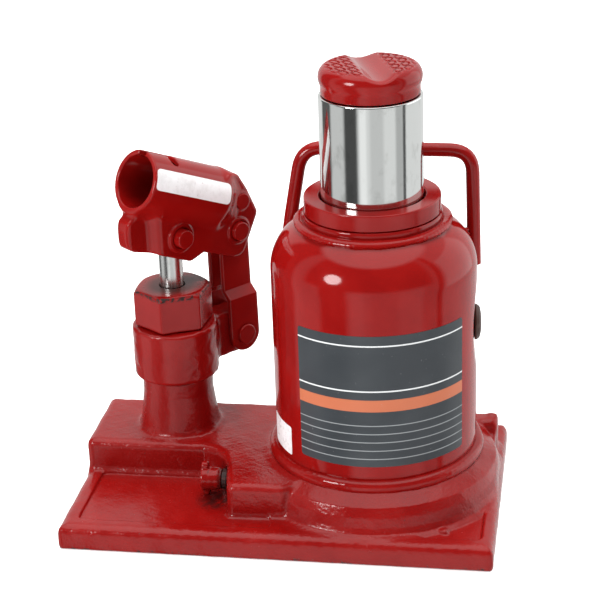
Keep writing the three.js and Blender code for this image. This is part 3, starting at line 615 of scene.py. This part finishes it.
BROWN = rubbery("plug_rubber", (0.045, 0.016, 0.010, 1), (0.085, 0.05, 0.04, 1), 0.42)
SEAL = rubbery("seal_plastic", (0.03, 0.12, 0.24, 1), (0.06, 0.16, 0.28, 1), 0.4)
LABEL = label_print()
STICKER = sticker_stock()


# ---------------- base casting

BASE_LOW, BASE_HIGH = span("base_casting")
PLATE_TOP = 12.5
PLATFORM_TOP = 29.6
LEFT_PAN = (-140.3, -46, -59.5, -11.5)           # left, right, front and back of each hollow
RIGHT_PAN = (10, 56.5, -60.6, 20)

# The platform's outline from above, and half sections of the boss and the post as (radius, height).
OUTLINE = [(-148.6, -10.6), (-87, -10.6), (-80, -13.4), (-75, -19), (-72, -28), (-67.5, -50.5), (-40, -50.5),
           (30, 0), (42, 22), (52, 29), (58.6, 31), (58.6, 41.6), (-148.6, 41.6)]
BOSS_SECTION = [(0, 4), (65.8, 4), (65.8, 12.0), (64.0, 13.6), (62.9, 16.4), (61.9, 21), (60.0, 25.8),
                (53.8, 30.4), (50.9, 31.6), (0, 31.6)]
POST_SECTION = [(0, 20), (20.3, 20), (20.3, 32), (17.9, 50), (17.9, 58.9), (14, 58.9), (14, 87), (0, 87)]

RISER = (-40, 14)                                # where oil is drawn from the tank's floor
DISCHARGE = (-16, -8)                            # where oil enters the pressure cylinder
BORES = [                                        # start, end and radius of each drilling
    ((PUMP_X, PUMP_Y, 22), (PUMP_X, PUMP_Y, 41), 6.5),
    ((PUMP_X, PUMP_Y, 7), (*RISER, 7), 2),
    ((*RISER, 7), (*RISER, 28), 2),
    ((PUMP_X + 3, PUMP_Y, 20), (*DISCHARGE, 6.5), 2),
    ((*DISCHARGE, 10), (*DISCHARGE, 21), 4.6),
    ((-58, 44, 20), (-58, 22, 20), 4.3),         # the safety valve's pocket
]
SEATS = [                                        # centre, radius and floor of each turned seat
    ((0, 0), 50.3, 26),                          # the tank's
    ((0, 0), 33.8, 20),                          # the pressure cylinder's
    ((PUMP_X, PUMP_Y), 10.8, 39.7),              # the pump cylinder's
]


def plate_outline(x, y, inside):
    (left, front, _), (right, back, _) = BASE_LOW + inside, BASE_HIGH - inside
    return rectangle(x, y, left, right, front, back, 2.8)


def base_pans(x, y, z):
    """The drip pan under the release valve, which shallows towards it, and the end pan past the tank."""
    slope = 1.35 - 0.9 * np.clip((x + 128) / 90, 0, 1) ** 1.5
    left = np.maximum(rectangle(x, y, *LEFT_PAN, 2.5), PLATE_TOP - slope - z)
    right = np.maximum(rectangle(x, y, *RIGHT_PAN, 3), PLATE_TOP - 1.1 - z)
    return np.minimum(left, right)


def base_field(x, y, z):
    """Plate, platform, rib, boss and post run together with fillets, then bored and faced."""
    plate = blend_max(plate_outline(x, y, 0.1), between(z, -3, PLATE_TOP), 6.0)
    plate = cut(plate, base_pans(x, y, z), 1.3)
    platform = blend_max(polygon(x, y, OUTLINE, 3.8), between(z, 3, PLATFORM_TOP), 4.6)
    slope = (z - 28.4) * 0.78 + (35.6 - y) * 0.62
    rib = np.maximum(between(x, 54.4, 58.3), between(y, 10, 38))
    rib = blend_max(rib, np.maximum(slope, 4 - z), 1.6)
    boss = polygon(length(x, y), z, BOSS_SECTION, 1.1)
    boss = blend_max(boss, rectangle(x, y, -149, 61.6, -68.2, 62.8, 4), 1.5)
    post = polygon(length(x - PUMP_X, y - PUMP_Y), z, POST_SECTION, 0.6)
    body = blend_min(plate, platform, 3.6)
    body = blend_min(body, rib, 2.5)
    body = blend_min(body, boss, 2.0)
    pip = length(x - 38.5, y + 54.4, (z - 12.2) * 1.4) - 1.7
    body = blend_min(blend_min(body, pip, 2.2), post, 4.2)
    body = body + 0.09 * unevenness(x, y, z, 19) + 0.035 * unevenness(y, z, x, 5.3)
    body = np.maximum(np.maximum(body, plate_outline(x, y, 0.05)), -z)
    for start, end, radius in BORES:
        body = cut(body, capsule(x, y, z, start, end, radius), 0.4)
    valve = np.maximum(length(y - VALVE_Y, z - VALVE_Z) - 5.6, between(x, -90, -42.5))
    body = cut(body, valve, 1.0)
    for (seat_x, seat_y), radius, floor in SEATS:
        seat = np.maximum(length(x - seat_x, y - seat_y) - radius, floor - z)
        body = np.maximum(body, -seat)
    return body


def make_base():
    add_field("cast_base", base_field, BASE_LOW, BASE_HIGH, 1.0, CAST, "jack_body",
              node="base_casting", slot="casting_red")


# ---------------- tank and gland

FILLER_TURN = math.radians(5)
FILLER_DIRECTION = np.array([math.cos(FILLER_TURN), math.sin(FILLER_TURN), 0])
FILLER_Z = 96.5
DENT_RADIUS = 84
DENT_DEPTH = 2.7


def make_tank():
    """A drawn shell with a round shoulder and a neck, pushed in round the filler by a large sphere."""
    foot, wall, shoulder, shoulder_z, neck, thread, nut_foot, top = 26.3, 3.5, 25, 127, 38, 31.5, 145, 155
    centre, inner, bore = TANK_RADIUS - shoulder, shoulder - wall, TANK_RADIUS - wall
    outer_arc = [(centre + shoulder * math.cos(a), shoulder_z + shoulder * math.sin(a))
                 for a in np.linspace(0, math.acos((neck - centre) / shoulder), 22)]
    inner_arc = [(centre + inner * math.cos(a), shoulder_z + inner * math.sin(a))
                 for a in np.linspace(math.asin((nut_foot - shoulder_z) / inner), 0, 8)]
    section = [(bore, foot), (TANK_RADIUS, foot), *outer_arc, (36.2, 150.2, 1.5), (33.7, 151.4, 1),
               (33.6, top - 0.6), (33.1, top), (thread, top), (thread, nut_foot), *inner_arc, (bore, foot)]
    points, faces = lathe(eased(section, 2.0), 220)
    ball = FILLER_DIRECTION * (TANK_RADIUS - DENT_DEPTH + DENT_RADIUS) + np.array([0, 0, FILLER_Z])
    away = points - ball
    apart = np.linalg.norm(away, axis=1)
    outside = length(points[:, 0], points[:, 1]) > TANK_RADIUS - 3
    pushed = blend_max(apart, np.full_like(apart, DENT_RADIUS), 0.8)
    points = np.where(outside[:, None], ball + away * (pushed / apart)[:, None], points)
    add_piece("tank_shell", points, faces, TANK_RED, "jack_body", node="reservoir_tank",
              slot="tank_red")


def bead(name, radius, height, size, lumps, ripples, seed, stretch):
    """A weld bead round the tank: a ring whose size wanders, with the ripples of its passes."""
    sides, around = 360, 14
    phases = np.random.default_rng(seed).uniform(0, 2 * math.pi, 6)
    points = []
    for i in range(sides):
        turn = 2 * math.pi * i / sides
        wander = sum(math.sin(k * turn + phases[k % 6]) / k ** 0.5 for k in (3, 7, 13, 22)) / 3
        ripple = ripples * math.sin(96 * turn + 1.5 * math.sin(5 * turn))
        scale = size * (1 + lumps * wander + ripple)
        for a in np.linspace(0, 2 * math.pi, around, endpoint=False):
            r = radius + scale * stretch[0] * math.cos(a)
            z = height + scale * stretch[1] * math.sin(a)
            points.append((r * math.cos(turn), r * math.sin(turn), z))
    add_piece(name, points, ring_faces(sides, around, True), WELDED, "jack_body", slot="casting_red")


def make_tank_welds():
    bead("tank_weld", TANK_RADIUS + 0.3, 32.2, 2.8, 0.07, 0.008, 3, (1.25, 1.3))
    bead("neck_weld", 35.3, 150.5, 2.2, 0.26, 0.02, 5, (1.3, 0.85))


def make_gland_nut():
    low, top = span("gland_nut")[0][2], span("gland_nut")[1][2]
    radius, thread, bore, mouth, flange = 32.9, 31.2, 25.1, 26.0, 155.4
    seal_radius, seal_low, seal_top = 28.2, 146, 150.4
    add_turned("gland_nut_shell", [
        (bore, low), (thread, low), (thread, flange - 0.2), (radius - 0.4, flange), (radius, flange + 0.4),
        (radius, top, 0.9), (mouth, top, 0.5), (bore, top - 1.2), (bore, seal_top), (seal_radius, seal_top),
        (seal_radius, seal_low), (bore, seal_low), (bore, low)], 160, MACHINED, "jack_body", longest=4,
        node="gland_nut", slot="machined_red")


def make_ram():
    low, high = span("ram")
    foot, top = low[2], high[2]
    radius, spigot, shoulder, hole, hole_depth = (high[0] - low[0]) / 2, 15, 106.3, 10.3, 22
    add_turned("ram_rod", [
        (0, foot), (spigot, foot, 0.5), (spigot, shoulder), (radius, shoulder, 0.5), (radius, top, 0.9),
        (hole, top, 0.4), (hole, top - hole_depth), (0, top - hole_depth)], 160, RAM_CHROME, "ram_body",
        longest=9, node="ram", slot="ram_chrome")


GROOVE_TURN = math.radians(-70)


def saddle_field(x, y, z):
    low, top = 213.05, 227.0
    r = length(x, y)
    puck = blend_max(r - 24.55, between(z, low + 2.2, top), 6.5)
    neck = blend_max(r - 23.5, between(z, low, low + 5), 0.8)
    stem = np.maximum(r - 10, between(z, top - 34.3, low + 4))
    body = blend_min(blend_min(puck, neck, 0.6), stem, 0.5)
    across = -x * math.sin(GROOVE_TURN) + y * math.cos(GROOVE_TURN)
    along = x * math.cos(GROOVE_TURN) + y * math.sin(GROOVE_TURN)
    groove = length(across, z - (top - 2.9 + 9.2)) - 9.2
    body = cut(body, groove, 1.8)
    rows = (np.abs(across) - 7.0) % 5.6 - 2.8
    columns = (along + 0.5 * np.abs(across) + 60) % 6.4 - 3.2
    ring = np.abs(length(rows, columns * 0.8) - 2.0) - 0.45
    cells = blend_max(ring, top - 0.7 - z, 0.4)
    reach = np.maximum(r - 21.2, 6.9 - np.abs(across))
    return cut(body, np.maximum(cells, reach), 0.5)


def make_saddle():
    low, high = span("saddle")
    add_field("saddle_pad", saddle_field, low, high, 0.42, SADDLE_RED, "ram_body",
              node="saddle", slot="forged_red")


# ---------------- carrying handle

def handle_route():
    """The bail's centreline, up one side of the tank, across behind the ram and down the other."""
    foot, top = 118, 175.2
    corners = [np.array([x, 27 + 4.5 * (z - foot) / (top - foot), z]) for x, z in
               ((-46.9, foot), (-45.6, 134), (-38.6, top), (45.4, top), (46.4, 136), (46.9, foot))]
    route = [corners[0]]
    for before, here, after, bend in zip(corners, corners[1:], corners[2:], (7, 11, 11, 7)):
        start = here + (before - here) / np.linalg.norm(before - here) * bend
        end = here + (after - here) / np.linalg.norm(after - here) * bend
        for t in np.linspace(0, 1, 9):
            route.append(start * (1 - t) ** 2 + here * 2 * t * (1 - t) + end * t * t)
    return np.array(route + [corners[-1]])


def make_carry_handle():
    route, radius, sides = handle_route(), 3.4, 28
    points = []
    for i, at in enumerate(route):
        forward = route[min(i + 1, len(route) - 1)] - route[max(i - 1, 0)]
        forward /= np.linalg.norm(forward)
        across = np.cross(forward, (0, 1, 0))
        across /= np.linalg.norm(across)
        other = np.cross(across, forward)
        for a in np.linspace(0, 2 * math.pi, sides, endpoint=False):
            points.append(at + radius * (math.cos(a) * across + math.sin(a) * other))
    last = (len(route) - 1) * sides
    caps = [range(sides), range(last + sides - 1, last - 1, -1)]
    faces = ring_faces(len(route), sides) + [tuple(cap) for cap in caps]
    add_piece("carry_bail", points, faces, BAIL_RED, "jack_body", node="carry_handle",
              slot="machined_red")


def make_handle_welds():
    """A lumpy bead on each side of both feet of the bail, where it is welded to the tank."""
    for name, sign in (("handle_weld_left", -1), ("handle_weld_right", 1)):
        def field(x, y, z, sign=sign):
            body = None
            for y_off, low, high in ((-2.9, 118, 136), (3.3, 119, 135)):
                y_at = 27.6 + y_off
                x_at = sign * (math.sqrt(TANK_RADIUS ** 2 - y_at ** 2) + 0.3)
                run = capsule(x, y, z, (x_at, y_at, low + 2), (x_at - sign * 0.9, y_at, high), 1.7)
                run = run - 0.35 * np.sin(z * 2.6 + y_off)
                body = run if body is None else blend_min(body, run, 1)
            return body
        low, high = (45 * sign - 7, 22, 116), (45 * sign + 7, 36, 140)
        add_field(name, field, low, high, 0.55, WELDED, "jack_body", slot="casting_red")


# ---------------- filler

def make_filler():
    dent = TANK_RADIUS - DENT_DEPTH
    place = (0, 0, FILLER_Z)
    add_turned("filler_plug_dome", [
        (0, dent - 7), (3.7, dent - 7, 0.8), (4.0, dent + 1.45), (8.6, dent + 1.45, 0.5),
        (9.0, dent + 2.3, 0.6), (7.6, dent + 4.1, 2), (4, dent + 4.85, 4), (0, dent + 4.9)],
        48, BROWN, "jack_body", place=place, along=FILLER_DIRECTION, node="filler_plug",
        slot="plug_rubber")
    hole, rim, low, top = 4.3, 8.2, dent + 0.35, dent + 1.3
    ring = [(hole, low), (rim, low, 0.3), (rim, top, 0.3), (hole, top), (hole, low)]
    add_turned("filler_washer_ring", ring, 48, BLACK, "jack_body", place=place, along=FILLER_DIRECTION,
               node="filler_washer", slot="black_rubber")


# ---------------- pump post pieces

HEX_TURN = math.radians(-95.5)
HEX_HALF = 17.5


def hex_field(x, y, z):
    """The pump cylinder: a chamfered hexagon on a stem, bored for the plunger and its seals."""
    u, v = x - PUMP_X, y - PUMP_Y
    low, top = 87.4, 106.9
    flats = None
    for i in range(3):
        a = HEX_TURN + math.pi / 6 + i * math.pi / 3
        pair = np.abs(u * math.cos(a) + v * math.sin(a)) - HEX_HALF
        flats = pair if flats is None else blend_max(flats, pair, 0.7)
    r = length(u, v)
    chamfer = (r - 17.4) * 0.62 + (z - top) * 0.78
    head = blend_max(blend_max(flats, between(z, low, top), 0.9), chamfer, 0.8)
    under = (r - 19.6) * 0.62 + (low - z) * 0.78
    head = blend_max(head, under, 0.6)
    body = blend_min(head, np.maximum(r - 10.5, between(z, 40, low + 3)), 0.6)
    bore = np.minimum(r - 6.3, np.maximum(r - 6.5, 103.6 - z))
    packing_room = np.maximum(r - 9, between(z, 95.7, 100.3))
    wiper_room = np.maximum(r - 8.4, between(z, 101.3, 103.6))
    return cut(body, np.minimum(bore, np.minimum(packing_room, wiper_room)), 0.4)


def make_pump_cylinder():
    low, high = span("pump_cylinder")
    add_field("pump_hexagon", hex_field, low, high, 0.5, HEX_RED, "jack_body",
              node="pump_cylinder", slot="machined_red")


def pin_hole(u, z, pivot, radius):
    return length(u - pivot[0], z - pivot[1]) - radius


def collar_field(u, v, z):
    low, top = 59.4, 86.8
    r = length(u, v)
    barrel = blend_max(r - 21.5, between(z, low, top), 2.4)
    lean = (u - 44.6) * 0.94 + np.abs(z - 70) * 0.2
    ear = blend_max(rectangle(u, v, -10, 46, -7.6, 7.6, 3.5), between(z, 60.7, 84.5), 3.2)
    ear = blend_max(ear, lean, 3)
    body = blend_min(barrel, ear, 3.5) + 0.12 * unevenness(u, v, z, 11)
    body = cut(body, r - 14.3, 0.5)
    return cut(body, pin_hole(u, z, LOWER_PIVOT, 4.3), 0.5)


def make_collar():
    add_field("collar_forging", collar_field, (-21.5, -21.5, 59.4), (46, 21.5, 86.8), 0.62, FORGED,
              "pump_swivel", in_head=True, node="swivel_collar", slot="forged_red")


def plunger_field(u, v, z):
    shaft = blend_max(length(u, v) - 6, between(z, 55, 134.5), 0.8)
    eye = blend_max(pin_hole(u, z, PLUNGER_PIVOT, 7.4), np.abs(v) - 6, 1.0)
    return cut(blend_min(shaft, eye, 1.2), pin_hole(u, z, PLUNGER_PIVOT, 4.3), 0.4)


def make_plunger():
    add_field("plunger_rod", plunger_field, (-7.4, -6, 55), (7.4, 6, 142), 0.5, PLUNGER_STEEL,
              "pump_plunger", in_head=True, node="plunger", slot="ram_chrome")


# ---------------- handle socket and links

# The fork seen from the side, and the room inside it: along the links and up.
SIDE = [(-23.5, 149.5), (-27.2, 147.4), (-28.8, 143), (-28.8, 138), (-27.8, 133.9), (-24, 131.6),
        (-13.3, 128.4), (6.1, 119.7), (14.5, 122.4), (33, 114.6), (37.4, 114.3), (40.2, 116), (42, 119),
        (50.3, 135.2), (44, 149), (38.2, 158.6), (32.3, 158.8), (30.2, 153.4), (-15, 160)]
ROOM = [(-9.5, 90), (61, 90), (61, 131), (36, 149.5), (33, 154), (-9.5, 158)]


def socket_field(u, v, z):
    """A slotted tube that tapers into the pressed fork, with raised pads round its pins."""
    along = (u - MOUTH[0]) * math.cos(TILT) - (z - MOUTH[1]) * math.sin(TILT)
    up = (u - MOUTH[0]) * math.sin(TILT) + (z - MOUTH[1]) * math.cos(TILT)
    r = length(up, v)
    taper = np.clip((along - 49) / 11, 0, 1)
    reach = TUBE - (TUBE - CHEEK) * taper * taper * (3 - 2 * taper)
    tube = blend_max(r - reach, np.maximum(-along, along - 58), 1.0)
    nose = rectangle(u, v, -28.8, 10, -4.8, 4.8, 2.8)
    plan = blend_min(nose, rectangle(u, v, -14.6, 60, -CHEEK, CHEEK, 4.5), 4.0)
    fork = blend_max(plan, polygon(u, z, SIDE, 4.0), 1.8)
    skin = blend_min(tube, fork, 5.0)
    for pivot, radius in ((PLUNGER_PIVOT, 7.6), (UPPER_PIVOT, 7.0), (RIVET_PLACE, 5.0)):
        face = CHEEK + (1.1 if radius > 6 else 0.35)
        pad = blend_max(pin_hole(u, z, pivot, radius), between(v, -face, 0), 0.9)
        skin = blend_min(skin, pad, 0.8)
    room = np.maximum(polygon(u, z, ROOM), np.abs(v) - (CHEEK - 2.9))
    bore_reach = TUBE_BORE - (TUBE_BORE - 6.8) * np.clip((along - 46) / 10, 0, 1)
    bore = np.maximum(r - bore_reach, between(along, -5, 56))
    slot = np.maximum(blend_max(np.abs(v) - 2.5, along - 17.6, 2), np.maximum(-up, -5 - along))
    hook = np.maximum(blend_max(between(along, 12.7, 17.6), between(v, -9.4, 1), 3), 7 - up)
    hollow = np.minimum(np.minimum(room, bore), np.minimum(slot, hook))
    body = cut(skin, hollow, 0.9)
    for pivot in (PLUNGER_PIVOT, UPPER_PIVOT):
        body = cut(body, np.maximum(pin_hole(u, z, pivot, 5.3), v + CHEEK), 0.3)
        body = cut(body, pin_hole(u, z, pivot, 4.3), 0.3)
    return cut(body, pin_hole(u, z, RIVET_PLACE, 3.0), 0.3)


def make_socket():
    add_field("socket_pressing", socket_field, (-34, -TUBE, 113.5), (50.3, TUBE, 181), 0.55, SOCKET_RED,
              "pump_socket", in_head=True, node="handle_socket", slot="sheet_red")


def make_links():
    """Two straps that are closer together at the upper pin than at the lower one."""
    thick, upper, lower, half, bend_low, bend_high = 3, 3.5, 8, 8.9, 91.2, 95.4
    bent = [(lower, 50), (lower + thick, 50), (lower + thick, bend_low + 1), (upper + thick, bend_high + 1),
            (upper + thick, 150), (upper, 150), (upper, bend_high), (lower, bend_low)]
    for name, node, sign in (("link_near_strap", "link_near", -1), ("link_far_strap", "link_far", 1)):
        def field(u, v, z, sign=sign):
            strap = polygon(sign * v, z, bent, 0.4)
            share = np.clip((z - LOWER_PIVOT[1]) / (UPPER_PIVOT[1] - LOWER_PIVOT[1]), 0, 1)
            centre = LOWER_PIVOT[0] + (UPPER_PIVOT[0] - LOWER_PIVOT[0]) * share
            middle = LOWER_PIVOT[1] + (UPPER_PIVOT[1] - LOWER_PIVOT[1]) * share
            wide = length(u - centre, z - middle) - (half + 0.4 * (1 - share))
            body = blend_max(strap, wide, 1.2)
            body = cut(body, pin_hole(u, z, LOWER_PIVOT, 4.3), 0.4)
            return cut(body, pin_hole(u, z, UPPER_PIVOT, 6.3), 0.4)
        sides = sorted((sign * upper, sign * (lower + thick)))
        low, high = (27.4, sides[0], 61.9), (46.9, sides[1], 137.5)
        add_field(name, field, low, high, 0.5, SHEET, "pump_links", in_head=True, node=node,
                  slot="sheet_red")


def make_pins():
    """Headed pins across the head; the head shows on the near side and the ring clip on the far side."""
    pin, neck = 4.0, 3.1
    for name, pivot, plate, head, face, body in (
            ("plunger", PLUNGER_PIVOT, CHEEK, 5.0, 14.6, "pump_socket"),
            ("upper_link", UPPER_PIVOT, CHEEK, 5.1, 12.9, "pump_socket"),
            ("lower_link", LOWER_PIVOT, 11.0, 5.5, 12.5, "pump_swivel")):
        seat, groove, groove_end, end = -plate - 0.3, plate + 0.15, plate + 1.45, plate + 2.9
        add_turned(f"{name}_pin_headed", [
            (0, -face), (head - 0.3, -face, 0.8), (head, seat, 0.2), (pin, seat), (pin, groove),
            (neck, groove), (neck, groove_end), (pin, groove_end), (pin, end, 0.5), (0, end)],
            40, MACHINED, body, place=head_point(*pivot), along=HEAD_AXES[1], longest=3,
            node=f"{name}_pin", slot="sheet_red")


def make_socket_rivet():
    seat, face, head, shank, tail = CHEEK + 0.4, CHEEK + 1.5, 4.2, 2.7, 3.4
    add_turned("socket_rivet_headed", [
        (0, -face), (head, -face, 0.5), (head, -seat), (shank, -seat), (shank, seat), (tail, seat),
        (tail, face, 0.5), (0, face)], 32, MACHINED, "pump_socket", place=head_point(*RIVET_PLACE),
        along=HEAD_AXES[1], longest=3, node="socket_rivet", slot="sheet_red")


# ---------------- release valve

def valve_field(x, y, z):
    v, w = y - VALVE_Y, z - VALVE_Z
    face, tip = -84.5, -50.5
    r = length(v, w)
    stem = blend_max(r - 5.0, between(x, face + 3, tip), 0.8)
    groove = np.maximum(between(x, -74, -71.1), 3.4 - r)
    stem = cut(stem, groove, 0.4)
    head = blend_max(r - 6.3 + 0.08 * (x - face), between(x, face, -74.9), 1.4)
    lugs = blend_max(rectangle(v, w, -2.3, 2.3, -9.15, 9.15, 2.0), between(x, face + 0.3, face + 4), 1.3)
    cone = (r - 1.6) * 0.76 - (tip - x) * 0.65
    body = blend_min(blend_min(stem, head, 0.8), lugs, 1.2) + 0.06 * unevenness(x, y, z, 5)
    return blend_max(body, cone, 0.4)


def make_release_valve():
    low, high = span("release_valve_screw")
    add_field("release_valve_tee", valve_field, low, high, 0.4, VALVE_RED, "release_valve",
              node="release_valve_screw", slot="machined_red")


# ---------------- labels

GLUE = 0.02                                      # gap under a sticker


def patch(name, radius, length_span, turn_span, corner, frame_of, material, body, thick=0.1):
    """A thin sticker on a cylinder: length_span runs along its axis and turn_span round it, in degrees."""
    low, high = length_span
    start, end = (math.radians(t) * radius for t in turn_span)
    steps = [corner * (1 - math.cos(a)) for a in np.linspace(0, math.pi / 2, 6)]
    rows = []
    for position in [low + step for step in steps] + [high - step for step in steps[::-1]]:
        near_end = max(0.0, corner - min(position - low, high - position))
        rows.append((position, corner - math.sqrt(max(corner ** 2 - near_end ** 2, 0))))
    columns = 72
    points, faces = [], []
    for lift in (thick, 0.0):
        for position, trim in rows:
            for c in range(columns + 1):
                turn = (start + trim + (end - start - 2 * trim) * c / columns) / radius
                points.append(frame_of(radius + GLUE + lift, turn, position))
    stride, layer, last = columns + 1, len(points) // 2, len(rows) - 1
    for i in range(last):
        for a in range(i * stride, i * stride + columns):
            faces.append((a, a + 1, a + stride + 1, a + stride))
            faces.append((layer + a, layer + a + stride, layer + a + stride + 1, layer + a + 1))
    rim = list(range(stride)) + [i * stride + columns for i in range(1, last)]
    rim += range(last * stride + columns, last * stride - 1, -1)
    rim += [i * stride for i in range(last - 1, 0, -1)]
    for a, b in zip(rim, rim[1:] + rim[:1]):
        faces.append((a, layer + a, layer + b, b))
    add_piece(name, points, faces, material, body)


def on_tank(radius, turn, position):
    return (radius * math.cos(turn), radius * math.sin(turn), position)


def on_socket(radius, turn, position):
    """turn is 0 on the socket's roof and grows towards its near side."""
    up = radius * math.cos(turn)
    u = MOUTH[0] + position * math.cos(TILT) + up * math.sin(TILT)
    z = MOUTH[1] - position * math.sin(TILT) + up * math.cos(TILT)
    return head_point(u, z, -radius * math.sin(turn))


def make_labels():
    patch("tank_label", TANK_RADIUS, (42.7, 110.6), (-129.1, -27.1), 1.6, on_tank, LABEL, "jack_body")
    patch("tank_sticker", TANK_RADIUS, (38.4, 53.6), (-163, -138.4), 1.2, on_tank, STICKER, "jack_body")
    patch("socket_sticker", TUBE, (1.2, 49.4), (53, 92), 2.2, on_socket, STICKER, "pump_socket", thick=0.28)


# ---------------- CAD nodes that keep their shape

KEPT = [
    (STEEL, ["pressure_cylinder", "piston_head", "piston_nut", "release_valve_ball", "safety_valve_ball",
             "safety_valve_screw", "suction_ball", "discharge_ball"]),
    (SPRING, ["safety_valve_spring", "discharge_spring", "plunger_clip", "upper_link_clip",
              "lower_link_clip"]),
    (SEAL, ["gland_seal", "piston_cup_seal", "plunger_packing"]),
    (BLACK, ["piston_backup_ring", "plunger_wiper"]),
    (GRIMY, ["release_valve_ring"]),
    (COPPER, ["cylinder_gasket"]),
]


def dress_kept_nodes():
    for material, nodes in KEPT:
        for node in nodes:
            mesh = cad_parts[node].data
            mesh.materials.clear()
            mesh.materials.append(material)


# ---------------- stage

def make_floor():
    reach = 40.0
    mesh = bpy.data.meshes.new("floor")
    corners = [(x * reach, y * reach, 0) for x, y in ((-1, -1), (1, -1), (1, 1), (-1, 1))]
    mesh.from_pydata(corners, [], [range(4)])
    n = Nodes("floor_paper")
    colour = n.mix(n.ramp(n.noise(60, 3, 0.5), 0.3, 0.7), (0.87, 0.87, 0.87, 1), (0.89, 0.89, 0.89, 1))
    n.finish(colour, 0.9)
    n.shader.inputs["Emission Color"].default_value = (1, 1, 1, 1)
    n.shader.inputs["Emission Strength"].default_value = 0.42
    mesh.materials.append(n.material)
    floor = bpy.data.objects.new("floor", mesh)
    floor.location.z = -0.0002
    bpy.context.scene.collection.objects.link(floor)
    floor.visible_glossy = False


def make_world():
    """A white studio: soft box overhead, a window to the right, and the dark gap where the camera stands."""
    world = bpy.data.worlds.new("studio")
    bpy.context.scene.world = world
    world.use_nodes = True
    world.node_tree.nodes.clear()
    n = Tree(world.node_tree)

    def towards(now, target, mask):
        return n.math("ADD", now, n.both(n.math("SUBTRACT", target, now), mask))

    direction = n.add("ShaderNodeTexCoord").outputs["Generated"]
    x, y, z = n.add("ShaderNodeSeparateXYZ", {0: direction}).outputs
    turn = n.math("DEGREES", n.math("ARCTAN2", x, y))    # 0 behind the jack, +90 to its right, 180 in front
    rise = n.math("DEGREES", n.math("ARCSINE", z))
    in_front = n.math("ADD", n.ramp(turn, 100, 112), n.ramp(turn, -112, -100, 1, 0))
    light = towards(1.06, 0.84, n.band(turn, -124, -86, 4))
    light = towards(light, 0.15, n.band(turn, -88, -55, 4))
    light = towards(light, 1.30, n.band(turn, -176, -162, 3))
    light = towards(light, 0.84, n.band(turn, 146, 176, 5))
    light = towards(light, 0.66, n.band(turn, 100, 118, 4))
    light = towards(light, 0.10, n.both(n.band(turn, -157, -125, 5), n.ramp(rise, 8, 14, 1, 0)))
    light = towards(light, 0.12, n.band(turn, 92, 100, 2.5))
    light = towards(light, 0.16, n.both(in_front, n.ramp(rise, -4, 6)))
    light = towards(light, 2.0, n.both(n.band(turn, 36, 88, 2), n.band(rise, -14, 34, 1.5)))
    light = towards(light, 2.4, n.ramp(rise, 50, 58))
    surface = n.add("ShaderNodeBackground", {"Strength": light})
    n.add("ShaderNodeOutputWorld", {"Surface": surface.outputs[0]})


def add_lamp(name, place, aim, size, power, glossy):
    lamp = bpy.data.lights.new(name, "AREA")
    lamp.shape = "DISK"
    lamp.size = size
    lamp.energy = power
    thing = bpy.data.objects.new(name, lamp)
    thing.location = place
    thing.rotation_mode = "QUATERNION"
    thing.rotation_quaternion = (Vector(aim) - Vector(place)).to_track_quat("-Z", "Y")
    thing.visible_glossy = glossy
    bpy.context.scene.collection.objects.link(thing)


def make_lamps():
    middle = (0, 0, 0.08)
    add_lamp("left_soft_box", (-1.5, -0.9, 1.2), middle, 1.2, 7, False)
    add_lamp("top_soft_box", (0.1, 0.35, 1.75), middle, 1.4, 31, False)
    add_lamp("front_spot", (-1.05, -1.25, 0.75), middle, 0.58, 14, True)


def make_camera():
    """The camera stands in front and a little to the right, looking down at the jack."""
    yaw, pitch, roll = (math.radians(a) for a in (9.69, 22.76, -1.99))
    forward = Vector((-math.sin(yaw) * math.cos(pitch), math.cos(yaw) * math.cos(pitch), -math.sin(pitch)))
    camera = bpy.data.cameras.new("camera")
    camera.sensor_width = 36
    camera.lens = 107.83
    thing = bpy.data.objects.new("camera", camera)
    thing.location = (0.1004, -0.80245, 0.44837)
    thing.rotation_mode = "QUATERNION"
    thing.rotation_quaternion = forward.to_track_quat("-Z", "Y") @ Quaternion((0, 0, 1), roll)
    bpy.context.scene.collection.objects.link(thing)
    bpy.context.scene.camera = thing
    bpy.context.scene.view_settings.view_transform = "Standard"


# ---------------- assembly

make_base()
make_tank()
make_tank_welds()
make_gland_nut()
make_ram()
make_saddle()
make_carry_handle()
make_handle_welds()
make_filler()
make_pump_cylinder()
make_collar()
make_plunger()
make_socket()
make_links()
make_pins()
make_socket_rivet()
make_release_valve()
make_labels()
dress_kept_nodes()
make_floor()
make_world()
make_lamps()
make_camera()
